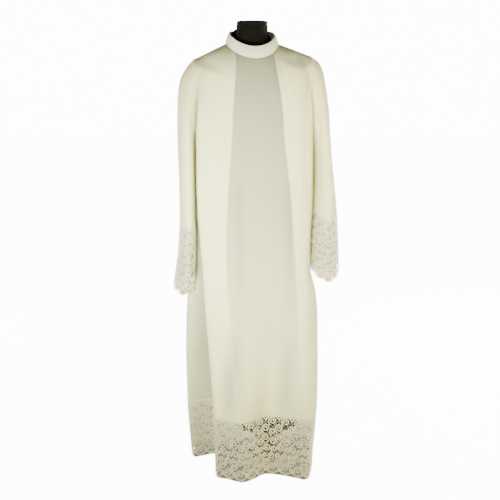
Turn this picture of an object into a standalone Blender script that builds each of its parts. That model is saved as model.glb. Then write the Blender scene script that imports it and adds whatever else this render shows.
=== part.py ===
"""Alb robe on a limbless dress form.

A floor-length liturgical robe hangs on a long black jersey form that stands
on a turned wooden base.  The robe is thin cloth throughout: a front
with two pressed pleats, a back, two set-in sleeves, a band collar, and
open-work lace at the hem and the cuffs.

Frame: metres, +Z up, the robe faces -Y, origin on the floor below the neck.
"""
import math

import bmesh
import bpy
import numpy as np
from mathutils import Vector
from mathutils.geometry import delaunay_2d_cdt

for old in list(bpy.data.objects):
    bpy.data.objects.remove(old)

# ---------------------------------------------------------------- sizes
CLOTH = 0.0014            # thickness of the woven cloth
LACE = 0.0018             # thickness of the lace
BAND = 0.0026             # thickness of the doubled collar band

NECK_Y = -0.035
ARMPIT_Z = 1.170
HEM_SEAM_Z = 0.214        # where the hem lace is sewn on
HEM_LACE = 0.202          # depth of the hem lace to the tip of a scallop
CUFF_LACE = 0.226         # depth of the cuff lace to the tip of a scallop
SCALLOP = 0.010           # depth of one scallop
LACE_PITCH = 0.048        # one repeat of the lace

COLLAR_TOP = {"half_width": 0.0740, "half_depth": 0.0725,
              "front": 1.4385, "side": 1.4800, "back": 1.4920}
COLLAR_BASE = {"half_width": 0.0860, "half_depth": 0.0900,
               "front": 1.3990, "side": 1.4485, "back": 1.4680}
SHOULDER_X = 0.192
SHOULDER_Z = {-1: 1.397, 1: 1.409}
FRONT, BEHIND = -1, 1
CHEST_Y = {FRONT: -0.146, BEHIND: 0.067}     # the robe's depth at the armpit
ARMHOLE_SWELL = {FRONT: 2.16, BEHIND: 1.57}  # how round the armhole is
# Depth half way up to the shoulder, at distances from the middle.
HALF_WAY_X = (0.000, 0.060, 0.105, 0.150, 0.190)
HALF_WAY_Y = {FRONT: (-0.152, -0.147, -0.138, -0.127, -0.105),
              BEHIND: (0.076, 0.072, 0.062, 0.048, 0.025)}
SIDE_RISE = 1.1           # how straight the cloth leaves the armpit's level
ROUND_THE_SHOULDER = 8.0  # how firmly the half-way depth pulls on the curve
NECK_LIFT = (0.25, 0.12)  # how flat the cloth meets the collar: in its width, beside it
NECK_BESIDE = 0.5         # where that ends, as a share of the collar's half width
PLEAT_STEP = 0.005        # spacing of the cloth's columns round a pressed pleat
PLEAT_UNDER = 0.018       # cloth folded under at each pressed pleat
PLEAT_DEPTH = 0.0064      # how far the centre lies behind the pressed folds
PLEAT_TUCK = 0.007        # cloth behind the folds that runs up inside the collar
PLEAT_OPEN_Z = (0.55, 1.05)   # the pleats fall open between these heights
PLEAT_FLATTENS = (0.55, 1.0)  # how far open a pleat is as its depth goes

# Lines that run down the robe, from the left side seam round the front to
# the right seam and round the back.  Each row has the line's name, where it
# ends on the top edge, and its x and y at each of these heights.  The top
# edge counts 0-1 up the left shoulder seam, 1-3 round the front of the
# collar, 3-4 down the right shoulder seam, and 4-8 back behind the same way.
HEIGHTS = (1.170, 0.950, 0.720, 0.580, 0.400, 0.210, 0.000)
LINES = (
    ("left_seam", 0.00, (-.187, -.035), (-.185, -.012), (-.186, .022),
     (-.206, .034), (-.216, .036), (-.211, .035), (-.195, .033)),
    ("left_gully", 0.08, (-.189, -.060), (-.184, -.045), (-.158, .000),
     (-.140, .035), (-.130, .046), (-.124, .050), (-.120, .052)),
    ("left_return", 0.18, (-.191, -.095), (-.188, -.095), (-.164, -.090),
     (-.150, -.075), (-.138, -.065), (-.128, -.060), (-.124, -.060)),
    ("left_fold", 0.32, (-.188, -.126), (-.191, -.134), (-.177, -.150),
     (-.169, -.153), (-.155, -.160), (-.143, -.162), (-.137, -.163)),
    ("left_front", 0.65, (-.145, -.146), (-.146, -.152), (-.140, -.163),
     (-.133, -.168), (-.122, -.176), (-.112, -.180), (-.107, -.182)),
    ("left_neck", 1.00, (-.110, -.149), (-.117, -.155), (-.117, -.166),
     (-.110, -.173), (-.100, -.188), (-.088, -.202), (-.084, -.204)),
    ("left_pleat", 1.49, (-.078, -.150), (-.094, -.156), (-.098, -.167),
     (-.090, -.176), (-.076, -.200), (-.059, -.219), (-.055, -.221)),
    ("centre_left", 1.82, (-.030, -.151), (-.035, -.156), (-.035, -.166),
     (-.030, -.172), (-.025, -.185), (-.018, -.196), (-.016, -.197)),
    ("centre_right", 2.18, (.030, -.151), (.040, -.158), (.045, -.166),
     (.045, -.168), (.038, -.164), (.032, -.159), (.032, -.159)),
    ("right_pleat", 2.51, (.086, -.150), (.110, -.157), (.122, -.168),
     (.128, -.176), (.132, -.190), (.128, -.207), (.126, -.208)),
    ("right_neck", 3.00, (.118, -.147), (.133, -.152), (.140, -.164),
     (.146, -.172), (.152, -.195), (.153, -.226), (.150, -.227)),
    ("right_front", 3.35, (.150, -.142), (.160, -.143), (.160, -.156),
     (.166, -.165), (.172, -.188), (.172, -.212), (.168, -.214)),
    ("right_fold", 3.68, (.190, -.112), (.191, -.112), (.183, -.122),
     (.190, -.135), (.190, -.160), (.184, -.182), (.178, -.184)),
    ("right_side", 3.85, (.190, -.075), (.190, -.060), (.187, -.060),
     (.203, -.070), (.212, -.090), (.208, -.100), (.200, -.105)),
    ("right_seam", 4.00, (.187, -.035), (.189, -.015), (.190, .020),
     (.220, .015), (.234, .020), (.238, .030), (.228, .030)),
    ("right_back", 4.20, (.186, .000), (.192, .030), (.210, .078),
     (.246, .095), (.257, .110), (.260, .125), (.246, .120)),
    ("back_right_ridge", 4.55, (.150, .045), (.155, .065), (.172, .105),
     (.184, .128), (.196, .148), (.205, .165), (.198, .165)),
    ("back_right_trough", 5.15, (.095, .060), (.100, .068), (.108, .090),
     (.112, .104), (.117, .118), (.120, .130), (.118, .130)),
    ("back_centre", 6.00, (.000, .067), (.000, .085), (.000, .115),
     (.000, .135), (.000, .157), (.000, .175), (.000, .178)),
    ("back_left_trough", 6.85, (-.095, .060), (-.100, .068), (-.105, .090),
     (-.106, .102), (-.106, .114), (-.105, .125), (-.103, .125)),
    ("back_left_ridge", 7.45, (-.150, .045), (-.153, .062), (-.160, .095),
     (-.164, .115), (-.169, .134), (-.172, .150), (-.168, .150)),
    ("left_back", 7.80, (-.186, .000), (-.189, .030), (-.202, .075),
     (-.210, .082), (-.214, .088), (-.210, .095), (-.198, .095)),
)
LINE = {row[0]: number for number, row in enumerate(LINES)}
TOP_ALL_ROUND = 8.0

# One row for each ring of a sleeve, from the armhole to the scallops:
# outer and inner side (x, z), the middle's y, half depth, rise to the back.
SLEEVE = {
    -1: (
        ("armhole", .192, 1.397, .187, 1.170, -.035, .070, .00),
        ("cap", .2140, 1.374, .1945, 1.162, -.036, .078, .00),
        ("crown", .2330, 1.343, .2000, 1.148, -.037, .083, .00),
        ("upper", .2440, 1.300, .2030, 1.128, -.038, .086, .00),
        ("biceps", .2485, 1.220, .2040, 1.090, -.038, .088, .00),
        ("elbow", .2490, 1.080, .2000, 1.020, -.038, .088, .02),
        ("forearm", .2470, .960, .1970, .940, -.038, .088, .08),
        ("cuff", .2450, .868, .1945, .868, -.038, .088, .12),
        ("mid_lace", .2520, .755, .1930, .755, -.038, .090, .12),
        ("edge", .2680, .642, .1950, .642, -.040, .093, .14)),
    1: (
        ("armhole", .192, 1.409, .187, 1.170, -.035, .070, .00),
        ("cap", .2200, 1.391, .1945, 1.162, -.034, .078, .00),
        ("crown", .2360, 1.358, .2010, 1.148, -.033, .083, .00),
        ("upper", .2430, 1.312, .2070, 1.128, -.032, .086, .00),
        ("biceps", .2550, 1.215, .2140, 1.090, -.030, .088, .02),
        ("elbow", .2710, 1.060, .2190, 1.020, -.028, .088, .12),
        ("forearm", .2830, .965, .2160, .965, -.026, .089, .28),
        ("cuff", .2890, .912, .2100, .912, -.026, .089, .45),
        ("mid_lace", .2950, .808, .2010, .808, -.028, .091, .45),
        ("edge", .2990, .702, .1990, .702, -.030, .093, .45)),
}


# ---------------------------------------------------------------- curves
def smooth_step(low, high, value):
    """0 below low, 1 above high, soft between."""
    share = min(max((value - low) / (high - low), 0.0), 1.0)
    return share * share * (3.0 - 2.0 * share)


def hermite(first, first_slope, last, last_slope, share):
    """Cubic from first to last with the given slopes at its ends."""
    square, cube = share * share, share * share * share
    return ((2 * cube - 3 * square + 1) * first + (cube - 2 * square + share) * first_slope
            + (3 * square - 2 * cube) * last + (cube - square) * last_slope)


def spline(knots, values, place):
    """Smooth curve through values that stand at rising knots."""
    last = len(knots) - 1
    start = min(max(int(np.searchsorted(knots, place, side="right")) - 1, 0), last - 1)
    rises = [(values[i + 1] - values[i]) / (knots[i + 1] - knots[i]) for i in range(last)]

    def slope(index):
        if index in (0, last):
            return rises[0] if index == 0 else rises[-1]
        before, after = knots[index] - knots[index - 1], knots[index + 1] - knots[index]
        return (rises[index - 1] * after + rises[index] * before) / (before + after)

    width = knots[start + 1] - knots[start]
    return hermite(values[start], slope(start) * width, values[start + 1],
                   slope(start + 1) * width, (place - knots[start]) / width)


def line_at(number, height):
    """Where one of the robe's lines stands at a height."""
    points = [np.array(pair) for pair in LINES[number % len(LINES)][2:]]
    return spline([-value for value in HEIGHTS], points, -height)


def level(place, height):
    """A point of the robe's level section; place counts in whole lines."""
    start = math.floor(place)
    points = [line_at(start + offset, height) for offset in (-1, 0, 1, 2)]
    knots = [0.0]
    for before, after in zip(points, points[1:]):
        knots.append(knots[-1] + math.dist(before, after) ** 0.5)
    x, y = spline(knots, points, knots[1] + (place - start) * (knots[2] - knots[1]))
    return np.array((x, y, height))


def collar_edge(sizes, angle):
    """A point of a collar edge; angle 0 is the front, + to the right."""
    mean = (sizes["front"] + sizes["back"]) / 2
    tilt = (sizes["front"] - sizes["back"]) / 2
    saddle = (mean - sizes["side"]) / 2
    return np.array((sizes["half_width"] * math.sin(angle),
                     NECK_Y - sizes["half_depth"] * math.cos(angle),
                     mean - saddle + tilt * math.cos(angle) + saddle * math.cos(2 * angle)))


def top_edge(turn):
    """A point of the shoulder and collar seams, counted as in LINES."""
    turn = turn % TOP_ALL_ROUND
    if 1 <= turn <= 3:
        return collar_edge(COLLAR_BASE, (turn - 2) * math.pi / 2)
    if 5 <= turn <= 7:
        return collar_edge(COLLAR_BASE, (turn - 4) * math.pi / 2)
    side = 1 if 3 < turn < 5 else -1
    share = abs(turn - 4) if side == 1 else min(turn, TOP_ALL_ROUND - turn)
    shoulder = np.array((side * SHOULDER_X, NECK_Y, SHOULDER_Z[side]))
    return shoulder * (1 - share) + collar_edge(COLLAR_BASE, side * math.pi / 2) * share


def top_above(place):
    """The top edge above any place between two lines."""
    start = math.floor(place)
    first = LINES[start % len(LINES)][1]
    second = LINES[(start + 1) % len(LINES)][1]
    if second < first:
        second += TOP_ALL_ROUND
    return top_edge(first + (second - first) * (place - start))


def upper(place, rise, away):
    """The robe above the armpit, rise 0 to 1; away is FRONT or BEHIND."""
    low, high = level(place, ARMPIT_Z), top_above(place)
    swell = ARMHOLE_SWELL[away] * (CHEST_Y[away] - low[1])
    half_way_x = (abs(low[0]) + abs(high[0])) / 2
    half_way_y = float(np.interp(half_way_x, HALF_WAY_X, HALF_WAY_Y[away]))
    turn_in = swell + ROUND_THE_SHOULDER * ((low[1] + high[1]) / 2 - half_way_y)
    from_neck = abs(high[0]) / COLLAR_BASE["half_width"] - 1
    beside = max(0.0, 1 - abs(from_neck) / NECK_BESIDE)
    lift = NECK_LIFT[0] * max(0.0, -from_neck) + NECK_LIFT[1] * beside
    start = np.array((0.0, swell, SIDE_RISE * (high[2] - low[2])))
    end = np.array((0.0, turn_in, lift))
    return hermite(low, start, high, end, rise)


def robe(place, down, away):
    """A point of the robe: down is 0 on the top edge, 1 at the armpit, 2 at the hem seam."""
    if down >= 1.0:
        return level(place, ARMPIT_Z + (HEM_SEAM_Z - ARMPIT_Z) * (down - 1.0))
    return upper(place, 1.0 - down, away)


def axes_at(surface, place, down, step=1e-3):
    """Point, direction along the place and outward normal of a surface."""
    here = surface(place, down)
    along = surface(place + step, down) - surface(place - step, down)
    below = surface(place, down + step) - surface(place, down - step)
    along = along / np.linalg.norm(along)
    normal = np.cross(below, along)
    return here, along, normal / np.linalg.norm(normal)


# ---------------------------------------------------------------- meshes
def material(name, color, roughness, metallic=0.0):
    made = bpy.data.materials.new(name)
    made.use_nodes = True
    shader = made.node_tree.nodes["Principled BSDF"]
    shader.inputs["Base Color"].default_value = (*color, 1.0)
    shader.inputs["Roughness"].default_value = roughness
    shader.inputs["Metallic"].default_value = metallic
    return made


def add_mesh(name, points, faces, finish, thickness):
    """A named sheet of cloth: an open surface given its thickness."""
    mesh = bpy.data.meshes.new(name)
    mesh.from_pydata([tuple(point) for point in points], [], faces)
    mesh.materials.append(finish)
    mesh.shade_smooth()
    thing = bpy.data.objects.new(name, mesh)
    PART.objects.link(thing)
    wall = thing.modifiers.new("wall", "SOLIDIFY")
    wall.thickness = thickness
    wall.offset = 0.0
    wall.use_even_offset = False
    return thing


def grid_faces(columns, rows, closed=False):
    """Quads of a grid whose points run down each column in turn."""
    faces = []
    for column in range(columns if closed else columns - 1):
        beside = (column + 1) % columns
        for row in range(rows - 1):
            faces.append((column * rows + row, column * rows + row + 1,
                          beside * rows + row + 1, beside * rows + row))
    return faces


def spread(first, last, parts):
    """Evenly spaced places from first up to but not at last."""
    return [first + (last - first) * number / parts for number in range(parts)]


# ---------------------------------------------------------------- the robe
# Cloth round a pleat, from the side front under the fold and out to the
# centre: name, distance from the fold and depth behind it when pressed, and
# distance from the fold when it lies open.
PLEAT = (
    ("side_front", -.013, .0000, -.013),
    ("near_fold", -PLEAT_STEP, .0000, -.008),
    ("fold", .000, .0014, -.003),
    ("under", -PLEAT_STEP, .0026, .002),
    ("deep", -3 * PLEAT_STEP, .0038, .010),
    ("inner_fold", -PLEAT_UNDER, .0051, .016),
    ("back_out", -3 * PLEAT_STEP, PLEAT_DEPTH, .022),
    ("centre_side", 2 * PLEAT_STEP, PLEAT_DEPTH, .028),
)
UPPER_ROWS = (0.002, 0.10, 0.24, 0.40, 0.58, 0.78)
LOWER_ROWS = 11
ROWS = (*UPPER_ROWS, *(1.0 + number / LOWER_ROWS for number in range(LOWER_ROWS + 1)))
SIDE_GAP = 0.008          # seam gap as a share of the way to the next line
NEAR_SEAM = 0.08          # a column close to each side seam keeps the edges square
COLLAR_GAP = 0.0018       # from the neck edge up to the collar's lower edge
COLLAR_SIDES = 32
COLLAR_BULGE = 0.0015     # how far the band swells half way up
SLEEVE_GAP = 0.0024       # from the armhole out to the sleeve's first ring
SLEEVE_SIDES = 20
LACE_SEAM = 0.0007        # gap between the cloth and the lace
LACE_SIDE = 0.0012        # gap at each end of a lace strip
LACE_EDGE = 0.004         # lace kept whole beside the ends of a strip
LACE_CLEAR = 0.004        # from a gap's corner to the nearest point of the lace
LACE_STAYS = (0.22, 0.42, 0.60, 0.80)   # rows of points that carry the drape


def shifted(surface, place, shift, down, step=1e-3):
    """The place that lies a length to the right of another along a surface."""
    for _ in range(2):
        middle = place + shift_share(surface, place, shift, down, step) / 2
        moved = shift_share(surface, middle, shift, down, step)
    return place + moved


def shift_share(surface, place, shift, down, step):
    """A length turned into a share of the way between two lines."""
    across = surface(place + step, down) - surface(place - step, down)
    return shift * 2 * step / np.linalg.norm(across)


def front_surface(place, down):
    return robe(place, down, FRONT)


def folded(place, shift, depth, down):
    """A point of the front moved along the cloth and in behind it."""
    spot = shifted(front_surface, place, shift, down)
    here, _, normal = axes_at(front_surface, spot, down)
    point = here - normal * depth
    if down == ROWS[0] and depth == PLEAT_DEPTH and shift * (place - MIDDLE) <= 0:
        point += PLEAT_TUCK * collar_up(math.atan2(point[0], NECK_Y - point[1]))
    return point


MIDDLE = (LINE["centre_left"] + LINE["centre_right"]) / 2


def pleats_open(down):
    """How far the pleats have fallen open, and how much of their depth is left."""
    height = robe(LINE["centre_left"], down, FRONT)[2]
    opened = 1.0 - smooth_step(*PLEAT_OPEN_Z, height)
    return opened, 1.0 - smooth_step(*PLEAT_FLATTENS, opened)


def pleat_point(side, row, down):
    """One point of a pleat; side is -1 for the left pleat and 1 for the right."""
    place = LINE["left_pleat"] if side < 0 else LINE["right_pleat"]
    opened, deep = pleats_open(down)
    shift = row[1] * (1 - opened) + row[3] * opened
    return folded(place, -side * shift, row[2] * deep, down)


def centre_columns():
    """The centre of the front, which lies behind the pressed folds."""
    columns = []
    first, last = LINE["centre_left"], LINE["centre_right"]
    for place in [*spread(first, last, 4), last]:
        columns.append([folded(place, 0.0, PLEAT_DEPTH * pleats_open(down)[1], down)
                        for down in ROWS])
    return columns


def column_at(place, away):
    """Points down the robe at one place."""
    return [robe(place, down, away) for down in ROWS]


def cloth_places(first, last, parts):
    """Places from one line to another, the last included."""
    places = [place for line in range(first, last) for place in spread(line, line + 1, parts)]
    return [*places, last]


def seam_places(places, seam_first, seam_last):
    """Draws back the ends that lie on a side seam and adds a column near each."""
    if seam_first:
        places[:1] = [places[0] + SIDE_GAP, places[0] + NEAR_SEAM]
    if seam_last:
        places[-1:] = [places[-1] - NEAR_SEAM, places[-1] - SIDE_GAP]
    return places


def sheet(name, columns, finish, thickness, closed=False):
    """Cloth lofted across columns of points."""
    points = [point for column in columns for point in column]
    faces = grid_faces(len(columns), len(columns[0]), closed)
    return add_mesh(name, points, faces, finish, thickness)


def pleat_columns(side):
    """A pleat, and the plain cloth from its fold to the side of the neck."""
    columns = [[pleat_point(side, row, down) for down in ROWS] for row in PLEAT]
    neck = LINE["left_neck"] if side < 0 else LINE["right_neck"]
    fold = LINE["left_pleat"] if side < 0 else LINE["right_pleat"]
    for share in (2 / 3, 1 / 3):
        beside = []
        for down in ROWS:
            edge = shifted(front_surface, fold, -side * PLEAT[0][1], down)
            beside.append(robe(neck + (edge - neck) * share, down, FRONT))
        columns.insert(0, beside)
    return columns if side < 0 else columns[::-1]


def build_front():
    left = cloth_places(LINE["left_seam"], LINE["left_neck"], 3)
    right = cloth_places(LINE["right_neck"], LINE["right_seam"], 3)
    columns = [column_at(place, FRONT) for place in seam_places(left, True, False)]
    columns += pleat_columns(-1)
    columns += centre_columns()
    columns += pleat_columns(1)
    columns += [column_at(place, FRONT) for place in seam_places(right, False, True)]
    return sheet("front", columns, CREAM, CLOTH)


def build_back():
    places = cloth_places(LINE["right_seam"], len(LINES), 3)
    columns = [column_at(place, BEHIND) for place in seam_places(places, True, True)]
    return sheet("back", columns, CREAM, CLOTH)


# ---------------------------------------------------------------- collar
def collar_up(angle):
    """Direction in which the collar stands at an angle."""
    rise = collar_edge(COLLAR_TOP, angle) - collar_edge(COLLAR_BASE, angle)
    return rise / np.linalg.norm(rise)


def build_collar():
    """The doubled band that stands round the neck."""
    columns = []
    for number in range(COLLAR_SIDES):
        angle = -2 * math.pi * number / COLLAR_SIDES
        low, high = collar_edge(COLLAR_BASE, angle), collar_edge(COLLAR_TOP, angle)
        low = low + collar_up(angle) * COLLAR_GAP
        bulge = np.array((math.sin(angle), -math.cos(angle), 0.0)) * COLLAR_BULGE
        columns.append([high, (low + high) / 2 + bulge, low])
    return sheet("collar", columns, CREAM, BAND, closed=True)


# ---------------------------------------------------------------- sleeves
def sleeve_ring(side, row, angle):
    """A point of one ring: angle 0 is the outer side, + to the back."""
    name, outer_x, outer_z, inner_x, inner_z, middle_y, depth, rise = row
    if name == "armhole":
        away = BEHIND if math.sin(angle) > 0 else FRONT
        seam = LINE["right_seam"] if side > 0 else (len(LINES) if away > 0 else 0)
        point = robe(seam, (1 - math.cos(angle)) / 2, away)
        return point + np.array((side * SLEEVE_GAP, 0.0, 0.0))
    x = (outer_x + inner_x) / 2 + (outer_x - inner_x) / 2 * math.cos(angle)
    z = (outer_z + inner_z) / 2 + (outer_z - inner_z) / 2 * math.cos(angle)
    y = depth * math.sin(angle)
    return np.array((side * x, middle_y + y, z + rise * y))


def sleeve(side, place, angle):
    """A point of a sleeve; place counts in rings."""
    table = SLEEVE[side]
    points = [sleeve_ring(side, row, angle) for row in table]
    knots = [0.0]
    for before, after in zip(table, table[1:]):
        drop = math.dist(before[1:3], after[1:3]) + math.dist(before[3:5], after[3:5])
        knots.append(knots[-1] + drop ** 0.5)
    start = min(int(place), len(table) - 2)
    return spline(knots, points, knots[start] + (place - start) * (knots[start + 1] - knots[start]))


RING = {row[0]: number for number, row in enumerate(SLEEVE[1])}


def build_sleeve(side):
    rows = []
    for ring in range(RING["cuff"]):
        rows += spread(ring, ring + 1, 2)
    rows.append(RING["cuff"])
    columns = []
    for number in range(SLEEVE_SIDES):
        angle = side * 2 * math.pi * number / SLEEVE_SIDES
        columns.append([sleeve(side, place, angle) for place in rows])
    name = "sleeve_left" if side < 0 else "sleeve_right"
    return sheet(name, columns, CREAM, CLOTH, closed=True)


# ---------------------------------------------------------------- lace
# Gaps in one repeat of the lace, from the seam down: across and down from
# the foot of an arch, in shares of the repeat and of the lace's depth, with
# each gap's width, height and number of corners.
LACE_GAPS = (
    ("spandrel", .00, .042, .0210, .0140, 3),
    ("under_arch", .30, .125, .0110, .0160, 4),
    ("between_scrolls", .50, .300, .0150, .0150, 4),
    ("wide_scroll", .00, .470, .0170, .0190, 5),
    ("low_scroll", .50, .680, .0160, .0180, 5),
)
CUFF_GAPS = ("spandrel", "between_scrolls", "wide_scroll", "low_scroll")


def gap_corners(kind, across, down, depth):
    """The corners of one gap, on the flat."""
    _, share_across, share_down, width, height, corners = kind
    middle_s, middle_t = across + share_across * LACE_PITCH, down + share_down * depth
    turn = math.pi / 2 if corners != 4 else 0.0
    return [(middle_s + width / 2 * math.cos(turn + 2 * math.pi * n / corners),
             middle_t + height / 2 * math.sin(turn + 2 * math.pi * n / corners))
            for n in range(corners)]


def inside(point, polygon):
    """Whether a flat point lies inside a polygon."""
    hit = False
    for (ax, ay), (bx, by) in zip(polygon, polygon[1:] + polygon[:1]):
        if (ay > point[1]) != (by > point[1]):
            if point[0] < ax + (point[1] - ay) / (by - ay) * (bx - ax):
                hit = not hit
    return hit


def lace_outline(repeats, pitch, depth):
    """Flat edge of a lace strip: straight at the seam, scalloped below."""
    top = [(number * pitch / 2, 0.0) for number in range(2 * repeats + 1)]
    low = []
    for number in range(4 * repeats + 1):
        swing = abs(math.sin(math.pi * number / 4))
        low.append((number * pitch / 4, depth - SCALLOP * (1 - swing)))
    sides = [(repeats * pitch, depth * share) for share in (0.25, 0.5, 0.75)]
    other = [(0.0, depth * share) for share in (0.75, 0.5, 0.25)]
    return top + sides + low[::-1] + other


def lace_strip(name, place_on, repeats, pitch, depth, kinds):
    """A scalloped strip with its gaps cut through, laid on a surface."""
    outline = lace_outline(repeats, pitch, depth)
    gaps = []
    for number in range(repeats + 1):
        for kind in kinds:
            corners = gap_corners(kind, number * pitch, 0.0, depth)
            left = min(s for s, t in corners)
            right = max(s for s, t in corners)
            if left > LACE_EDGE and right < repeats * pitch - LACE_EDGE:
                gaps.append(corners)
    points, edges = [], []
    for loop in [outline, *gaps]:
        first = len(points)
        points += loop
        edges += [(first + n, first + (n + 1) % len(loop)) for n in range(len(loop))]
    for column in range(1, 2 * repeats):
        for share in LACE_STAYS:
            stay = (column * pitch / 2, share * depth)
            if all(math.dist(stay, corner) > LACE_CLEAR for gap in gaps for corner in gap):
                if not any(inside(stay, gap) for gap in gaps):
                    points.append(stay)
    flat = [Vector(point) for point in points]
    found, _, faces, _, _, _ = delaunay_2d_cdt(flat, edges, [], 0, 1e-6)
    kept = []
    for face in faces:
        middle = sum((found[corner] for corner in face), Vector((0.0, 0.0))) / len(face)
        if inside(middle, outline) and not any(inside(middle, gap) for gap in gaps):
            kept.append(list(face)[::-1])
    used = sorted({corner for face in kept for corner in face})
    number_of = {corner: number for number, corner in enumerate(used)}
    faces = [[number_of[corner] for corner in face] for face in kept]
    places = [place_on(found[corner][0], found[corner][1]) for corner in used]
    return add_mesh(name, places, faces, LACE_CREAM, LACE)


def arc_table(curve, first, last, steps=400):
    """Places along a curve and the length from its start to each of them."""
    places = np.linspace(first, last, steps)
    points = np.array([curve(place) for place in places])
    lengths = np.concatenate([[0.0], np.cumsum(np.linalg.norm(np.diff(points, axis=0), axis=1))])
    return places, lengths


def build_hem_lace(name, first, last):
    """The lace below the front or the back, from one side seam to the other."""
    places, lengths = arc_table(lambda place: level(place, HEM_SEAM_Z - HEM_LACE / 2), first, last)
    girth = lengths[-1] - 2 * LACE_SIDE
    repeats = round(girth / LACE_PITCH)
    pitch = girth / repeats

    def on_robe(across, down):
        place = float(np.interp(across + LACE_SIDE, lengths, places))
        return level(place, HEM_SEAM_Z - LACE_SEAM - down)

    return lace_strip(name, on_robe, repeats, pitch, HEM_LACE, LACE_GAPS)


def build_cuff_lace(name, side, away):
    """Half of a cuff's lace: the half in front or the half behind."""
    start, end = (0.0, math.pi) if away > 0 else (-math.pi, 0.0)
    angles, lengths = arc_table(lambda angle: sleeve(side, RING["mid_lace"], angle), start, end)
    girth = lengths[-1] - 2 * LACE_SIDE
    repeats = round(girth / LACE_PITCH)
    kinds = [kind for kind in LACE_GAPS if kind[0] in CUFF_GAPS]
    first_ring, last_ring = RING["cuff"], RING["edge"]

    def on_sleeve(across, down):
        angle = float(np.interp(across + LACE_SIDE, lengths, angles))
        share = (down + LACE_SEAM) / (CUFF_LACE + LACE_SEAM)
        return sleeve(side, first_ring + (last_ring - first_ring) * share, angle)

    return lace_strip(name, on_sleeve, repeats, girth / repeats, CUFF_LACE, kinds)


# ---------------------------------------------------------------- the stand
# Level rings of the dress form, from its underside to the flat neck top:
# height, half width, half depth, and the middle's x and y.
FORM_RINGS = (
    ("underside", .114, .098, .070, .060, .015), ("lower_edge", .126, .113, .082, .060, .015),
    ("legs", .420, .118, .086, .045, -.002), ("seat", .680, .138, .094, .020, -.028),
    ("hip", .860, .152, .096, .000, -.040), ("waist", 1.020, .126, .084, .000, -.042),
    ("ribs", 1.110, .136, .090, .000, -.041), ("chest", 1.200, .152, .096, .000, -.040),
    ("upper_chest", 1.300, .163, .092, .000, -.038), ("shoulder_low", 1.365, .162, .072, .000, -.036),
    ("shoulder", 1.393, .154, .058, .000, -.035), ("shoulder_top", 1.409, .138, .052, .000, -.035),
    ("slope", 1.4307, .110, .050, .000, -.0325), ("neck_root", 1.4448, .082, .050, .000, -.0325),
    ("neck_low", 1.4550, .063, .050, .000, -.034), ("neck", 1.470, .053, .051, .000, -.035),
    ("neck_edge", 1.517, .0505, .0505, .000, -.035), ("neck_top", 1.521, .0480, .0480, .000, -.035),
)
FORM_SIDES = 20
STAND_X, STAND_Y = FORM_RINGS[0][4:]
BASE_RADIUS = 0.105
BASE_HEIGHT = 0.018
BASE_EDGE = 0.004         # the turned edges' size
BOSS_RADIUS = 0.053
TURNED_STEPS = 20
SEAT_GAP = 0.0003         # between the base and the form that it carries


def build_form():
    """The jersey-covered body, closed underneath and at the neck."""
    bm = bmesh.new()
    loops = []
    for _, height, half_width, half_depth, middle_x, middle_y in FORM_RINGS:
        loop = []
        for number in range(FORM_SIDES):
            angle = 2 * math.pi * number / FORM_SIDES
            loop.append(bm.verts.new((middle_x + half_width * math.cos(angle),
                                      middle_y + half_depth * math.sin(angle), height)))
        loops.append(loop)
    for low, high in zip(loops, loops[1:]):
        for number in range(FORM_SIDES):
            beside = (number + 1) % FORM_SIDES
            bm.faces.new((low[number], low[beside], high[beside], high[number]))
    bm.faces.new(loops[0][::-1])
    bm.faces.new(loops[-1])
    mesh = bpy.data.meshes.new("form_body")
    bm.to_mesh(mesh)
    bm.free()
    mesh.materials.append(JERSEY)
    mesh.shade_smooth()
    thing = bpy.data.objects.new("form_body", mesh)
    PART.objects.link(thing)
    return thing


def build_base():
    """A turned disc with a boss that carries the body."""
    top = FORM_RINGS[0][1] - SEAT_GAP
    soft = BASE_EDGE
    profile = (
        (0.0, top), (BOSS_RADIUS - soft, top), (BOSS_RADIUS, top - soft),
        (BOSS_RADIUS * 0.86, top * 0.62), (BOSS_RADIUS * 0.90, top * 0.38),
        (BOSS_RADIUS * 1.15, BASE_HEIGHT + 2 * soft), (BOSS_RADIUS * 1.40, BASE_HEIGHT),
        (BASE_RADIUS - 2 * soft, BASE_HEIGHT), (BASE_RADIUS, BASE_HEIGHT - 2 * soft),
        (BASE_RADIUS, soft * 0.5), (BASE_RADIUS - soft * 0.5, 0.0), (0.0, 0.0),
    )
    mesh = bpy.data.meshes.new("base")
    edges = [(number, number + 1) for number in range(len(profile) - 1)]
    mesh.from_pydata([(radius, 0.0, height) for radius, height in profile], edges, [])
    mesh.materials.append(WOOD)
    thing = bpy.data.objects.new("base", mesh)
    thing.location = (STAND_X, STAND_Y, 0.0)
    PART.objects.link(thing)
    turned = thing.modifiers.new("turned", "SCREW")
    turned.steps = TURNED_STEPS
    turned.render_steps = TURNED_STEPS
    turned.use_merge_vertices = True
    turned.merge_threshold = 0.0001
    return thing


# ---------------------------------------------------------------- build
PART = bpy.data.collections.new("alb_robe_on_dress_form")
bpy.context.scene.collection.children.link(PART)
CREAM = material("ivory_cloth", (0.83, 0.80, 0.69), 0.80)
LACE_CREAM = material("cream_lace", (0.82, 0.79, 0.65), 0.72)
JERSEY = material("black_jersey", (0.012, 0.012, 0.012), 0.85)
WOOD = material("brown_wood", (0.30, 0.13, 0.05), 0.45)

build_front()
build_back()
build_collar()
for which in (-1, 1):
    build_sleeve(which)
    label = "left" if which < 0 else "right"
    build_cuff_lace("cuff_lace_" + label + "_front", which, FRONT)
    build_cuff_lace("cuff_lace_" + label + "_back", which, BEHIND)
build_hem_lace("hem_lace_front", LINE["left_seam"], LINE["right_seam"])
build_hem_lace("hem_lace_back", LINE["right_seam"], len(LINES))
build_form()
build_base()
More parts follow.
